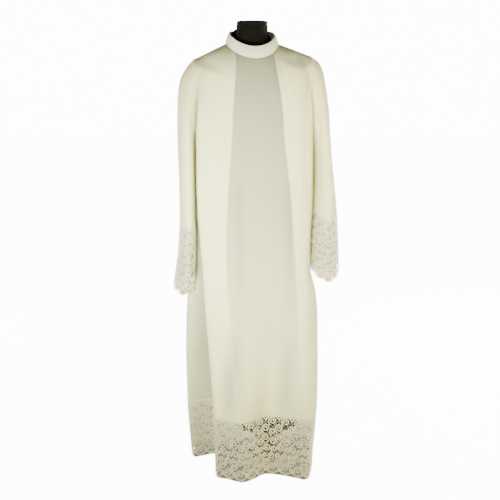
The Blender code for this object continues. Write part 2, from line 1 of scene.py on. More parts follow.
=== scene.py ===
# %% [markdown]
# # An alb on a dress form
#
# An alb is the long white robe worn under other vestments. This one has a band collar,
# two pressed pleats down the front, plain set-in sleeves, and deep bands of scroll lace
# at the cuffs and the hem. It hangs on a long black jersey dress form.
#
# The packed model is the fixed frame. Every piece below is built around it, in metres,
# and sits exactly where the frame says.

# %% Load the frame
import math

import bpy
import numpy as np
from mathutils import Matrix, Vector


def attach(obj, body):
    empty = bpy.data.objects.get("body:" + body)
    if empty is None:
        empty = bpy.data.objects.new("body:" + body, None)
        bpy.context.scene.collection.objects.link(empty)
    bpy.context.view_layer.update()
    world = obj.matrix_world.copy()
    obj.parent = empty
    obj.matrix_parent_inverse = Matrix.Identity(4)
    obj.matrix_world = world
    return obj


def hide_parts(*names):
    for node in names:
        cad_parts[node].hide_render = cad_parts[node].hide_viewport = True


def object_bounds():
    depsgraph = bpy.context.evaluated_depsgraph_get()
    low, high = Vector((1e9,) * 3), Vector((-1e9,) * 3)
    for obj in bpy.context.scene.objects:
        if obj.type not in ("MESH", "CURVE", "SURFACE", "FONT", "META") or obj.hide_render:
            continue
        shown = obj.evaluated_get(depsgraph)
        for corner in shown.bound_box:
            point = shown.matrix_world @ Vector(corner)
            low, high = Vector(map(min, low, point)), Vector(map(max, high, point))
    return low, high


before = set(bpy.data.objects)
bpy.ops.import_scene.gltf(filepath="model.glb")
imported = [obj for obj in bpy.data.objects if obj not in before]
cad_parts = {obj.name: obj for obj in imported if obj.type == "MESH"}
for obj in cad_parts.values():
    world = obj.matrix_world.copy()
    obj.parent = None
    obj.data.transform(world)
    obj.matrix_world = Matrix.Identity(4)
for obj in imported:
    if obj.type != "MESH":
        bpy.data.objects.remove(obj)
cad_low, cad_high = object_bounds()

print("frame nodes:", sorted(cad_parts))

# %% [markdown]
# ## Curves through a few rows of sizes
#
# A pattern maker thinks in a few level sections: so wide at the armpit, so wide at the
# hem. The cloth in between is faired. `smooth_curve` does that fairing: a cubic from
# each value to the next, whose slope at a value is the mean of the slopes beside it.

# %% Fairing helpers
def smooth_step(low, high, value):
    """0 below low, 1 above high, soft between."""
    share = np.clip((value - low) / (high - low), 0.0, 1.0)
    return share * share * (3.0 - 2.0 * share)


def hermite(first, first_slope, last, last_slope, share):
    """Cubic from first to last with the given slopes at its ends."""
    square, cube = share * share, share * share * share
    return ((2 * cube - 3 * square + 1) * first + (cube - 2 * square + share) * first_slope
            + (3 * square - 2 * cube) * last + (cube - square) * last_slope)


def smooth_curve(knots, values, at):
    """Values at many places on the smooth curve through values that stand at rising knots."""
    knots, values = np.asarray(knots, float), np.asarray(values, float)
    tall = (-1,) + (1,) * (values.ndim - 1)
    gaps = np.diff(knots).reshape(tall)
    rises = np.diff(values, axis=0) / gaps
    inner = (rises[:-1] * gaps[1:] + rises[1:] * gaps[:-1]) / (gaps[:-1] + gaps[1:])
    slopes = np.concatenate([rises[:1], inner, rises[-1:]])
    at = np.clip(np.asarray(at, float), knots[0], knots[-1])
    start = np.clip(np.searchsorted(knots, at, side="right") - 1, 0, len(knots) - 2)
    width = (knots[start + 1] - knots[start]).reshape(tall)
    share = (at - knots[start]).reshape(tall) / width
    return hermite(values[start], slopes[start] * width, values[start + 1],
                   slopes[start + 1] * width, share)


def run_along(path, power=1.0):
    """Lengths from a path's start to each point; a power below 1 evens out long steps."""
    steps = np.linalg.norm(np.diff(path, axis=0), axis=1) ** power
    return np.concatenate([[0.0], np.cumsum(steps)])


print("half way from 0 to 1:", smooth_curve((0, 1, 2), (0.0, 1.0, 0.0), [0.5]))

# %% [markdown]
# ## The cut of the robe
#
# These are the robe's own sizes. The table names the lines that run down the cloth, from
# the left side seam round the front, past the right seam and round the back. A row says
# where its line meets the top edge, and its x and y at each height: the folds of the
# skirt are the rows that swing out and in.

# %% Main sizes
NECK_Y = -0.035
ARMPIT_Z = 1.170
HEM_SEAM_Z = 0.214
HEM_LACE = 0.202
CUFF_LACE = 0.226
SCALLOP = 0.010
LACE_PITCH = 0.048
COLLAR_TOP = {"half_width": 0.0740, "half_depth": 0.0725,
              "front": 1.4385, "side": 1.4800, "back": 1.4920}
COLLAR_BASE = {"half_width": 0.0860, "half_depth": 0.0900,
               "front": 1.3990, "side": 1.4485, "back": 1.4680}
SHOULDER_X = 0.192
SHOULDER_Z = {-1: 1.397, 1: 1.409}
FRONT, BEHIND = -1, 1
CHEST_Y = {FRONT: -0.146, BEHIND: 0.067}
ARMHOLE_SWELL = {FRONT: 2.16, BEHIND: 1.57}
HALF_WAY_X = (0.000, 0.060, 0.105, 0.150, 0.190)
HALF_WAY_Y = {FRONT: (-0.152, -0.147, -0.138, -0.127, -0.105),
              BEHIND: (0.076, 0.072, 0.062, 0.048, 0.025)}
SIDE_RISE = 1.1
ROUND_THE_SHOULDER = 8.0
NECK_LIFT = (0.25, 0.12)
NECK_BESIDE = 0.5
print(f"robe from z {HEM_SEAM_Z - HEM_LACE:.3f} to {COLLAR_TOP['back']:.3f} m")

# %% The lines that run down the cloth
# Heights of the level sections, then the lines: name, place on the top edge (0-1 up the
# left shoulder, 1-3 round the front of the collar, 3-4 down the right shoulder, 4-8 the
# same way behind), and x and y at each height.
HEIGHTS = (1.170, 0.950, 0.720, 0.580, 0.400, 0.210, 0.000)
LINES = (
    ("left_seam", 0.00, (-.187, -.035), (-.185, -.012), (-.186, .022),
     (-.206, .034), (-.216, .036), (-.211, .035), (-.195, .033)),
    ("left_gully", 0.08, (-.189, -.060), (-.184, -.045), (-.158, .000),
     (-.140, .035), (-.130, .046), (-.124, .050), (-.120, .052)),
    ("left_return", 0.18, (-.191, -.095), (-.188, -.095), (-.164, -.090),
     (-.150, -.075), (-.138, -.065), (-.128, -.060), (-.124, -.060)),
    ("left_fold", 0.32, (-.188, -.126), (-.191, -.134), (-.177, -.150),
     (-.169, -.153), (-.155, -.160), (-.143, -.162), (-.137, -.163)),
    ("left_front", 0.65, (-.145, -.146), (-.146, -.152), (-.140, -.163),
     (-.133, -.168), (-.122, -.176), (-.112, -.180), (-.107, -.182)),
    ("left_neck", 1.00, (-.110, -.149), (-.117, -.155), (-.117, -.166),
     (-.110, -.173), (-.100, -.188), (-.088, -.202), (-.084, -.204)),
    ("left_pleat", 1.49, (-.078, -.150), (-.094, -.156), (-.098, -.167),
     (-.090, -.176), (-.076, -.200), (-.059, -.219), (-.055, -.221)),
    ("centre_left", 1.82, (-.030, -.151), (-.035, -.156), (-.035, -.166),
     (-.030, -.172), (-.025, -.185), (-.018, -.196), (-.016, -.197)),
    ("centre_right", 2.18, (.030, -.151), (.040, -.158), (.045, -.166),
     (.045, -.168), (.038, -.164), (.032, -.159), (.032, -.159)),
    ("right_pleat", 2.51, (.086, -.150), (.110, -.157), (.122, -.168),
     (.128, -.176), (.132, -.190), (.128, -.207), (.126, -.208)),
    ("right_neck", 3.00, (.118, -.147), (.133, -.152), (.140, -.164),
     (.146, -.172), (.152, -.195), (.153, -.226), (.150, -.227)),
    ("right_front", 3.35, (.150, -.142), (.160, -.143), (.160, -.156),
     (.166, -.165), (.172, -.188), (.172, -.212), (.168, -.214)),
    ("right_fold", 3.68, (.190, -.112), (.191, -.112), (.183, -.122),
     (.190, -.135), (.190, -.160), (.184, -.182), (.178, -.184)),
    ("right_side", 3.85, (.190, -.075), (.190, -.060), (.187, -.060),
     (.203, -.070), (.212, -.090), (.208, -.100), (.200, -.105)),
    ("right_seam", 4.00, (.187, -.035), (.189, -.015), (.190, .020),
     (.220, .015), (.234, .020), (.238, .030), (.228, .030)),
    ("right_back", 4.20, (.186, .000), (.192, .030), (.210, .078),
     (.246, .095), (.257, .110), (.260, .125), (.246, .120)),
    ("back_right_ridge", 4.55, (.150, .045), (.155, .065), (.172, .105),
     (.184, .128), (.196, .148), (.205, .165), (.198, .165)),
    ("back_right_trough", 5.15, (.095, .060), (.100, .068), (.108, .090),
     (.112, .104), (.117, .118), (.120, .130), (.118, .130)),
    ("back_centre", 6.00, (.000, .067), (.000, .085), (.000, .115),
     (.000, .135), (.000, .157), (.000, .175), (.000, .178)),
    ("back_left_trough", 6.85, (-.095, .060), (-.100, .068), (-.105, .090),
     (-.106, .102), (-.106, .114), (-.105, .125), (-.103, .125)),
    ("back_left_ridge", 7.45, (-.150, .045), (-.153, .062), (-.160, .095),
     (-.164, .115), (-.169, .134), (-.172, .150), (-.168, .150)),
    ("left_back", 7.80, (-.186, .000), (-.189, .030), (-.202, .075),
     (-.210, .082), (-.214, .088), (-.210, .095), (-.198, .095)),
)
LINE = {row[0]: number for number, row in enumerate(LINES)}
TOP_ALL_ROUND = 8.0
LINE_POINTS = np.array([row[2:] for row in LINES]).transpose(1, 0, 2)
print(len(LINES), "lines through", len(HEIGHTS), "level sections")

# %% [markdown]
# ## The robe as one surface
#
# Below the armpit a level section is a closed curve through the lines. Above it the cloth
# rises to the shoulder seams and the collar, rounding over the form. Working a whole row
# of points at a time keeps the dense cloth quick to make.

# %% Level sections
def level(places, height):
    """Points of the robe at one height; places count in whole lines."""
    lines = smooth_curve([-value for value in HEIGHTS], LINE_POINTS, [-height])[0]
    ring = np.concatenate([lines[-3:], lines, lines[:4]])
    knots = run_along(ring, 0.5)
    index = np.asarray(places, float) + 3
    whole = np.floor(index).astype(int)
    at = knots[whole] + (index - whole) * (knots[whole + 1] - knots[whole])
    return np.column_stack([smooth_curve(knots, ring, at), np.full(len(index), height)])


print("left seam meets the lace at", level([LINE["left_seam"]], HEM_SEAM_Z)[0].round(3))

# %% The top edge
def collar_edge(sizes, angle):
    """A point of a collar edge; angle 0 is the front, + to the right."""
    mean = (sizes["front"] + sizes["back"]) / 2
    tilt = (sizes["front"] - sizes["back"]) / 2
    saddle = (mean - sizes["side"]) / 2
    return np.array((sizes["half_width"] * math.sin(angle),
                     NECK_Y - sizes["half_depth"] * math.cos(angle),
                     mean - saddle + tilt * math.cos(angle) + saddle * math.cos(2 * angle)))


def collar_up(angle):
    """Direction in which the collar stands at an angle."""
    rise = collar_edge(COLLAR_TOP, angle) - collar_edge(COLLAR_BASE, angle)
    return rise / np.linalg.norm(rise)


def top_edge(turn):
    """A point of the shoulder and collar seams, counted as in LINES."""
    turn = turn % TOP_ALL_ROUND
    if 1 <= turn <= 3:
        return collar_edge(COLLAR_BASE, (turn - 2) * math.pi / 2)
    if 5 <= turn <= 7:
        return collar_edge(COLLAR_BASE, (turn - 4) * math.pi / 2)
    side = 1 if 3 < turn < 5 else -1
    share = abs(turn - 4) if side == 1 else min(turn, TOP_ALL_ROUND - turn)
    shoulder = np.array((side * SHOULDER_X, NECK_Y, SHOULDER_Z[side]))
    return shoulder * (1 - share) + collar_edge(COLLAR_BASE, side * math.pi / 2) * share


def top_above(places):
    """The top edge above places between the lines."""
    turns = np.array([row[1] for row in LINES])
    turns = np.concatenate([turns[-1:] - TOP_ALL_ROUND, turns, turns[:2] + TOP_ALL_ROUND])
    return np.array([top_edge(turn) for turn in
                     np.interp(places, np.arange(-1, len(LINES) + 2), turns)])


print("front neck edge at", top_above([LINE["centre_left"]])[0].round(4))

# %% Any point of the robe
def upper(places, rise, away):
    """The robe above the armpit, rise 0 to 1; away is FRONT or BEHIND."""
    low, high = level(places, ARMPIT_Z), top_above(places)
    swell = ARMHOLE_SWELL[away] * (CHEST_Y[away] - low[:, 1])
    half_way_x = (abs(low[:, 0]) + abs(high[:, 0])) / 2
    half_way_y = np.interp(half_way_x, HALF_WAY_X, HALF_WAY_Y[away])
    turn_in = swell + ROUND_THE_SHOULDER * ((low[:, 1] + high[:, 1]) / 2 - half_way_y)
    from_neck = abs(high[:, 0]) / COLLAR_BASE["half_width"] - 1
    beside = np.maximum(0.0, 1 - abs(from_neck) / NECK_BESIDE)
    lift = NECK_LIFT[0] * np.maximum(0.0, -from_neck) + NECK_LIFT[1] * beside
    none = np.zeros(len(swell))
    start = np.column_stack([none, swell, SIDE_RISE * (high[:, 2] - low[:, 2])])
    end = np.column_stack([none, turn_in, lift])
    return hermite(low, start, high, end, rise)


def robe(places, down, away):
    """A row of the robe: down is 0 on the top edge, 1 at the armpit, 2 at the hem seam."""
    if down >= 1.0:
        return level(places, ARMPIT_Z + (HEM_SEAM_Z - ARMPIT_Z) * (down - 1.0))
    return upper(places, 1.0 - down, away)


print("middle of the breast at", robe(np.array([7.5]), 0.5, FRONT)[0].round(3))

# %% Directions along the cloth
def unit(vectors):
    """Vectors brought to length 1."""
    return vectors / np.maximum(np.linalg.norm(vectors, axis=-1, keepdims=True), 1e-12)


# How far apart two places are from which a direction along the cloth is read.
NUDGE = 1e-3


def outward(places, down, away):
    """The cloth's outward direction along a row."""
    along = robe(places + NUDGE, down, away) - robe(places - NUDGE, down, away)
    below = robe(places, down + NUDGE, away) - robe(places, down - NUDGE, away)
    return unit(np.cross(below, along))


def shifted(places, shift, down, away):
    """Places that lie a length to the right of others, along the cloth."""
    def share(at):
        across = robe(at + NUDGE, down, away) - robe(at - NUDGE, down, away)
        return shift * 2 * NUDGE / np.linalg.norm(across, axis=1)

    moved = share(places)
    for _ in range(2):
        moved = share(places + moved / 2)
    return places + moved


hem_ring = level(np.arange(0, len(LINES) + 0.01, 0.05), HEM_SEAM_Z)
print(f"hem measures {run_along(hem_ring)[-1]:.2f} m round")

# %% [markdown]
# ## Cloth as a thin shell
#
# Cloth has two faces and a cut edge. Each panel is first an open grid of points, row by
# row from the shoulder to the hem, and then a Solidify modifier gives it its thickness.
# A UV map in metres goes with it, along the cloth and down it, so that the weave follows
# the panel and keeps its real scale.

# %% Lengths, directions and faces of a grid
def grid_lengths(points):
    """Across and down lengths of a grid of points, in metres."""
    across = np.linalg.norm(np.diff(points, axis=1), axis=2)
    down = np.linalg.norm(np.diff(points, axis=0), axis=2)
    zero_across, zero_down = np.zeros((len(points), 1)), np.zeros((1, points.shape[1]))
    across = np.concatenate([zero_across, np.cumsum(across, axis=1)], axis=1)
    down = np.concatenate([zero_down, np.cumsum(down, axis=0)], axis=0)
    return across - across[:, across.shape[1] // 2][:, None], down


def grid_normals(points, closed=False):
    """Outward directions over a grid whose rows run down and columns to the right."""
    if closed:
        along = np.roll(points, -1, axis=1) - np.roll(points, 1, axis=1)
    else:
        along = np.gradient(points, axis=1)
    return unit(np.cross(np.gradient(points, axis=0), along))


def grid_faces(rows, columns, closed=False, looped=False):
    """Faces of a grid of points; closed joins its two sides, looped its top and its foot."""
    faces = []
    for row in range(rows if looped else rows - 1):
        here, below = row * columns, (row + 1) % rows * columns
        for column in range(columns if closed else columns - 1):
            beside = (column + 1) % columns
            faces.append((here + column, below + column, below + beside, here + beside))
    return faces


print("a grid of 3 rows and 4 columns has", len(grid_faces(3, 4)), "faces")

# %% Meshes from points
def new_object(name, points, faces, finish):
    """A mesh object at the origin with one finish, shaded smooth."""
    mesh = bpy.data.meshes.new(name)
    mesh.from_pydata([tuple(point) for point in points], [], faces)
    mesh.materials.append(finish)
    mesh.shade_smooth()
    thing = bpy.data.objects.new(name, mesh)
    bpy.context.scene.collection.objects.link(thing)
    return thing


def give_uv(thing, name, lengths):
    """A UV map from two lengths in metres for each point."""
    corner = np.zeros(len(thing.data.loops), int)
    thing.data.loops.foreach_get("vertex_index", corner)
    layer = thing.data.uv_layers.new(name=name)
    layer.data.foreach_set("uv", np.asarray(lengths)[corner].ravel())


def give_values(thing, name, values=None):
    """An attribute with one number for each point, 0 unless values are given."""
    layer = thing.data.attributes.new(name, "FLOAT", "POINT")
    if values is not None:
        layer.data.foreach_set("value", np.ravel(values))


def only_selected(thing):
    """Makes one object active and selected, and nothing else."""
    bpy.ops.object.select_all(action="DESELECT")
    thing.select_set(True)
    bpy.context.view_layer.objects.active = thing


# %% Panels of cloth
CLOTH = 0.0010


def cloth_from_grid(name, points, finish, closed=False, painted_shade=None):
    """A panel of cloth on a grid of points, with UVs in metres and its painted shade."""
    rows, columns = points.shape[:2]
    thing = new_object(name, points.reshape(-1, 3), grid_faces(rows, columns, closed), finish)
    give_uv(thing, "cloth", np.column_stack([part.ravel() for part in grid_lengths(points)]))
    give_values(thing, "painted_shade", painted_shade)
    wall = thing.modifiers.new("wall", "SOLIDIFY")
    wall.thickness, wall.offset = CLOTH, 0.0
    only_selected(thing)
    bpy.ops.object.modifier_apply(modifier=wall.name)
    print(f"{name}: {len(thing.data.vertices)} points in {rows} rows")
    return thing


def declare(points, closed=False):
    """Takes the diagonals of a panel's grid cells; nothing is done with them."""
    if closed:
        points = np.concatenate([points, points[:, :1]], axis=1)
    one, other = points[1:, 1:] - points[:-1, :-1], points[1:, :-1] - points[:-1, 1:]


print("cloth is", 1000 * CLOTH, "mm thick")

# %% [markdown]
# ## Finishes written as sums
#
# A finish is easier to read as a formula than as a web of nodes. `Number` wraps a node's
# output so that it can be added and multiplied, and `Finish` holds one material. Sizes
# that are the same all over go straight on the shader's sockets.

# %% A node's output in a sum
class Number:
    """A node output that can stand in a sum."""

    def __init__(self, finish, socket):
        self.finish, self.socket = finish, socket

    def joined(self, operation, first, second):
        """A Math node on two values or links."""
        return self.finish.node("ShaderNodeMath", {"operation": operation}, [first, second])

    def __add__(self, other):
        return self.joined("ADD", self, other)

    def __sub__(self, other):
        return self.joined("SUBTRACT", self, other)

    def __rsub__(self, other):
        return self.joined("SUBTRACT", other, self)

    def __mul__(self, other):
        return self.joined("MULTIPLY", self, other)

    __radd__, __rmul__ = __add__, __mul__


print("sums of nodes can use + - and *")

# %% A finish and its nodes
class Finish:
    """One Principled material and the nodes that feed it."""

    def __init__(self, name, constants):
        self.material = bpy.data.materials.new(name)
        self.material.use_nodes = True
        self.tree = self.material.node_tree
        self.shader = self.tree.nodes["Principled BSDF"]
        for socket, value in constants.items():
            self.shader.inputs[socket].default_value = value

    def node(self, kind, settings=None, inputs=None, output=0):
        """Any node: settings first, then its sockets by number or name."""
        made = self.tree.nodes.new(kind)
        for name, value in (settings or {}).items():
            setattr(made, name, value)
        pairs = enumerate(inputs) if isinstance(inputs, list) else (inputs or {}).items()
        for key, value in pairs:
            if isinstance(value, Number):
                self.tree.links.new(value.socket, made.inputs[key])
            elif value is not None:
                made.inputs[key].default_value = value
        return Number(self, made.outputs[output])

    def place(self):
        """Where a spot lies on the piece, in metres."""
        return self.node("ShaderNodeTexCoord", None, None, "Object")

    def stretched(self, where, scales):
        """A place scaled along each of its directions."""
        return self.node("ShaderNodeMapping", None, {"Vector": where, "Scale": scales})

    def parts(self, where):
        """The three numbers of a place."""
        split = self.node("ShaderNodeSeparateXYZ", None, [where]).socket.node
        return [Number(self, socket) for socket in split.outputs]

    def painted(self, name):
        """The number that a piece holds for each of its points under a name."""
        return self.node("ShaderNodeAttribute", {"attribute_name": name}, None, "Fac")

    def mix(self, factor, first, second):
        """A colour between two colours."""
        return self.node("ShaderNodeMix", {"data_type": "RGBA"},
                         {0: factor, 6: first, 7: second}, 2)

    def noise(self, where, scale, detail=2.0):
        """Soft random values between 0 and 1."""
        return self.node("ShaderNodeTexNoise", None,
                         {"Vector": where, "Scale": scale, "Detail": detail})

    def sine(self, value, pitch):
        """A wave of a real pitch in metres, from -1 to 1."""
        return self.node("ShaderNodeMath", {"operation": "SINE"}, [value * (2 * math.pi / pitch)])

    def drive(self, socket, value):
        """Links a value to one of the shader's sockets."""
        self.tree.links.new(value.socket, self.shader.inputs[socket])

    def bump(self, height, distance):
        """Fine relief, as deep as a distance in metres."""
        self.drive("Normal", self.node("ShaderNodeBump", None,
                                       {"Distance": distance, "Height": height}, "Normal"))


print("a finish can:", [name for name in vars(Finish) if name[0] != "_"])

# %% Colours as they look on screen
def linear(red, green, blue):
    """A colour as it looks on screen, 0 to 255, turned into light."""
    return (*[(value / 255) ** 2.2 for value in (red, green, blue)], 1.0)


print("mid grey, as light, is", round(linear(128, 128, 128)[0], 3))

# %% [markdown]
# ## Ivory cloth
#
# The robe is a fine plain-weave wool and polyester. Over and under threads make a tiny
# checkerboard of bumps, every few threads a thicker slub shows, and the colour drifts a
# little from cream to ivory. Painted shade greys the cloth by a number on each point:
# where a single layer lies over the black form, in the shade of the left fold, on the
# shoulder tops that face up and in the hollows of the skirt. The collar is painted lighter,
# partly for its white interlining and partly as painted light.

# %% The cloth's finish
# One thread over and one under.
THREAD_PITCH = 0.0009
IVORY, CREAM_TINT = linear(238, 234, 182), linear(236, 229, 171)
# The grey that painted shade mixes in, and the collar's lighter ivory: interlining and painted
# light.
PAINTED_SHADE_GREY, FACED_LIT_IVORY = linear(150, 153, 128), linear(255, 252, 218)

ivory = Finish("ivory_wool_blend", {"Sheen Weight": 0.25, "Sheen Roughness": 0.5,
                                    "Specular IOR Level": 0.25})
cloth_uv = ivory.node("ShaderNodeUVMap", {"uv_map": "cloth"})
across, along, _ = ivory.parts(cloth_uv)
weave = ivory.sine(across, THREAD_PITCH) * ivory.sine(along, THREAD_PITCH)
slub = ivory.noise(ivory.stretched(cloth_uv, (900, 60, 1)), 1.0)
drift = ivory.noise(cloth_uv, 9.0, 3.0)
# Painted shade: an attribute on each point greys the cloth; another makes the collar lighter, for
# its interlining and as painted light.
painted_shade, faced_lit = ivory.painted("painted_shade"), ivory.painted("faced_lit")
tone = ivory.mix(faced_lit, ivory.mix(drift, IVORY, CREAM_TINT), FACED_LIT_IVORY)
ivory.drive("Base Color", ivory.mix(painted_shade, tone, PAINTED_SHADE_GREY))
ivory.drive("Roughness", drift * 0.12 + 0.76)
ivory.bump(weave * 0.5 + slub * 0.8, 0.00012)
print("weave:", round(2 * 0.01 / THREAD_PITCH), "threads to the centimetre")

# %% [markdown]
# ## Cream lace, black jersey and turned wood
#
# Guipure lace is stitched solid with a slightly shiny thread that runs across each cord.
# Jersey is a fine knit: rows of tiny V stitches that read as ribs. The base is turned
# from wood, red-brown above and limed pale on its flat plate; the grain runs straight
# through the piece.

# %% The lace's finish
STRAND_PITCH = 0.0007

lace_cream = Finish("cream_guipure", {"Sheen Weight": 0.15, "Specular IOR Level": 0.35})
cord_uv = lace_cream.node("ShaderNodeUVMap", {"uv_map": "cord"})
satin = lace_cream.sine(lace_cream.parts(cord_uv)[0], STRAND_PITCH)
lace_place = lace_cream.place()
lace_cream.drive("Base Color", lace_cream.mix(lace_cream.noise(lace_place, 60.0),
                                              linear(253, 249, 213), linear(244, 238, 196)))
lace_cream.drive("Roughness", lace_cream.noise(lace_place, 400.0) * 0.2 + 0.5)
lace_cream.bump(satin, 0.00010)
print("lace: a strand each", round(1e6 * STRAND_PITCH), "micrometres along a cord")

# %% The jersey's finish
RIB_PITCH, COURSE_PITCH = 0.0016, 0.0012

jersey = Finish("black_jersey_knit", {"Sheen Weight": 0.02, "Sheen Roughness": 0.4,
                                      "Specular IOR Level": 0.12})
jersey_place = jersey.place()
across, _, upwards = jersey.parts(jersey_place)
rib, course = jersey.sine(across, RIB_PITCH), jersey.sine(upwards, COURSE_PITCH)
fluff = jersey.noise(jersey_place, 120.0)
jersey.drive("Base Color", jersey.mix(fluff, linear(13, 14, 11), linear(20, 20, 17)))
jersey.drive("Roughness", fluff * 0.15 + 0.78)
jersey.bump(rib * 0.5 + course * 0.5 + fluff, 0.00018)
print("jersey:", round(0.01 / RIB_PITCH), "ribs to the centimetre")

# %% The wood's finish
PLATE_TOP, PLATE_LINE = 0.019, 0.0025

wood = Finish("turned_brown_wood", {"Coat Weight": 0.25, "Coat Roughness": 0.25})
wood_place = wood.place()
grain = wood.noise(wood.stretched(wood_place, (9, 90, 90)), 1.0, 6.0)
rings = wood.node("ShaderNodeTexWave", {"wave_type": "BANDS", "bands_direction": "Y"},
                  {"Vector": wood_place, "Scale": 14.0, "Distortion": 5.0, "Detail": 3.0})
figure = grain * 0.6 + rings * 0.4
height = wood.parts(wood_place)[2]
stem = wood.mix(figure, linear(62, 34, 20), linear(116, 66, 38))
plate = wood.mix(figure, linear(196, 186, 152), linear(214, 205, 172))
wood.drive("Base Color", wood.mix((height - PLATE_TOP) * (1 / PLATE_LINE), plate, stem))
wood.drive("Roughness", grain * 0.2 + 0.35)
wood.bump(grain, 0.0003)
print("finishes:", [finish.material.name for finish in (ivory, lace_cream, jersey, wood)])

# %% [markdown]
# ## Soft creases, placed one by one
#
# Cloth that hangs from the shoulders drags in soft diagonals near the armholes and falls
# in long shallow waves below. A crease here is a line on the panel with a width and a
# depth: below zero it is a trough, above zero a ridge. It fades out at both ends and to
# the sides, and no two are alike.

# %% Crease helper
CREASE_END, CREASE_FADE = 0.08, 0.7


def crease_depth(spots, creases):
    """How far creases move each spot out; spots hold two coordinates on the panel."""
    total = np.zeros(spots.shape[:-1])
    for _, start, end, width, depth in creases:
        start, end = np.array(start), np.array(end)
        run = end - start
        share = np.clip(((spots - start) @ run) / (run @ run), 0.0, 1.0)
        away = np.linalg.norm(spots - start - share[..., None] * run, axis=-1)
        fade = np.sin(math.pi * (CREASE_END + (1 - 2 * CREASE_END) * share)) ** CREASE_FADE
        total += depth * fade * np.exp(-(away / width) ** 2)
    return total


def press(points, creases):
    """A grid of points moved along its outward direction by creases drawn on x and z."""
    depth = crease_depth(points[..., [0, 2]], creases)
    return points + grid_normals(points) * depth[..., None]


print("a crease 4 mm deep, at its middle:",
      crease_depth(np.array([[0.0, 0.5]]), [("try", (0, 0), (0, 1), .01, .004)]).round(4))

# %% [markdown]
# ## The front
#
# One wide panel. At each pleat the cloth turns back under itself at a pressed edge, runs
# under for a finger's width, and turns again to become the centre, which so lies behind
# the two edges. Below the hip the pleats fall open into two soft ridges.

# %% Pleat sizes
PLEAT_UNDER = 0.018
PLEAT_DEPTH = 0.0064
PLEAT_TUCK = 0.007
PLEAT_STEP = 0.005
PLEAT_OPEN_Z = (0.55, 1.05)
PLEAT_FLATTENS = (0.55, 1.0)
PLEAT_COLUMNS = 4
# Distance from the fold and depth behind it when pressed, and distance when open.
PLEAT = np.array((
    (-.013, .0000, -.013), (-PLEAT_STEP, .0000, -.008), (.000, .0014, -.003),
    (-PLEAT_STEP, .0026, .002), (-3 * PLEAT_STEP, .0038, .010), (-PLEAT_UNDER, .0051, .016),
    (-3 * PLEAT_STEP, PLEAT_DEPTH, .022), (2 * PLEAT_STEP, PLEAT_DEPTH, .028),
))
pleat_curve = smooth_curve(range(len(PLEAT)), PLEAT,
                           np.linspace(0, len(PLEAT) - 1, (len(PLEAT) - 1) * PLEAT_COLUMNS + 1))
print(len(pleat_curve), "columns round each pleat")

# %% Rows and columns of the front
ROWS_ABOVE, ROWS_BELOW = 34, 112
DOWNS = np.concatenate([np.linspace(0.002, 1.0, ROWS_ABOVE)[:-1],
                        np.linspace(1.0, 2.0, ROWS_BELOW)])
SIDE_GAP = 0.004
TUCK_ROWS = 0.1
CENTRE_COLUMNS, BESIDE_COLUMNS = 16, 7
CLOTH_STEP = 0.0065


def columns_between(first, last):
    """Places from one line to another, about CLOTH_STEP apart at the hem."""
    fine = np.linspace(first, last, 600)
    lengths = run_along(level(fine, HEM_SEAM_Z))
    count = round(lengths[-1] / CLOTH_STEP)
    return np.interp(np.linspace(0, lengths[-1], count + 1), lengths, fine)


FRONT_LEFT = columns_between(LINE["left_seam"], LINE["left_neck"])
FRONT_RIGHT = columns_between(LINE["right_neck"], LINE["right_seam"])
FRONT_LEFT[0] += SIDE_GAP
FRONT_RIGHT[-1] -= SIDE_GAP
print(len(DOWNS), "rows;", len(FRONT_LEFT), "and", len(FRONT_RIGHT), "columns beside the pleats")

# %% One row of the front
def tucked(points, down, share=1.0):
    """Points lifted up inside the collar, where the centre starts behind the folds."""
    lift = PLEAT_TUCK * max(0.0, 1 - down / TUCK_ROWS) * np.broadcast_to(share, len(points))
    ups = np.array([collar_up(math.atan2(x, NECK_Y - y)) for x, y, z in points])
    return points + lift[:, None] * ups


def behind(places, depths, down):
    """Points of the front set back by depths."""
    return (robe(places, down, FRONT)
            - outward(places, down, FRONT) * np.broadcast_to(depths, len(places))[:, None])


def pleat_row(side, down):
    """A row round one pleat, from the side of the neck to the pleat's inner end."""
    fold = float(LINE["left_pleat"] if side < 0 else LINE["right_pleat"])
    neck = float(LINE["left_neck"] if side < 0 else LINE["right_neck"])
    height = robe(np.array([float(LINE["centre_left"])]), down, FRONT)[0, 2]
    opened = 1.0 - smooth_step(*PLEAT_OPEN_Z, height)
    deep = 1.0 - smooth_step(*PLEAT_FLATTENS, opened)
    shifts = pleat_curve[:, 0] * (1 - opened) + pleat_curve[:, 2] * opened
    places = shifted(np.full(len(shifts), fold), -side * shifts, down, FRONT)
    depths = pleat_curve[:, 1] * deep
    points = behind(places, depths, down)
    points = tucked(points, down, smooth_step(-PLEAT_UNDER, PLEAT_STEP, pleat_curve[:, 0])
                    * (pleat_curve[:, 1] > 0.9 * PLEAT_DEPTH))
    beside = np.linspace(neck, places[0], BESIDE_COLUMNS + 1)[1:-1]
    return np.concatenate([robe(beside, down, FRONT), points]), places[-1], PLEAT_DEPTH * deep


def front_row(down):
    """A whole row of the front, with both pleats and the centre between them."""
    left, left_end, depth = pleat_row(-1, down)
    right, right_end, _ = pleat_row(1, down)
    centre = tucked(behind(np.linspace(left_end, right_end, CENTRE_COLUMNS + 2)[1:-1],
                           depth, down), down)
    return np.concatenate([robe(FRONT_LEFT, down, FRONT), left, centre, right[::-1],
                           robe(FRONT_RIGHT, down, FRONT)])


front_grid = np.array([front_row(down) for down in DOWNS])
print("front grid:", front_grid.shape[:2])

# %% Painted shade on the front
# Painted shade on the shoulder tops, which face up, away from the low lights.
SHOULDER_SHADE = {"left": 0.34, "right": 0.442}
SHOULDER_SHADE_Z = (1.335, 1.395)
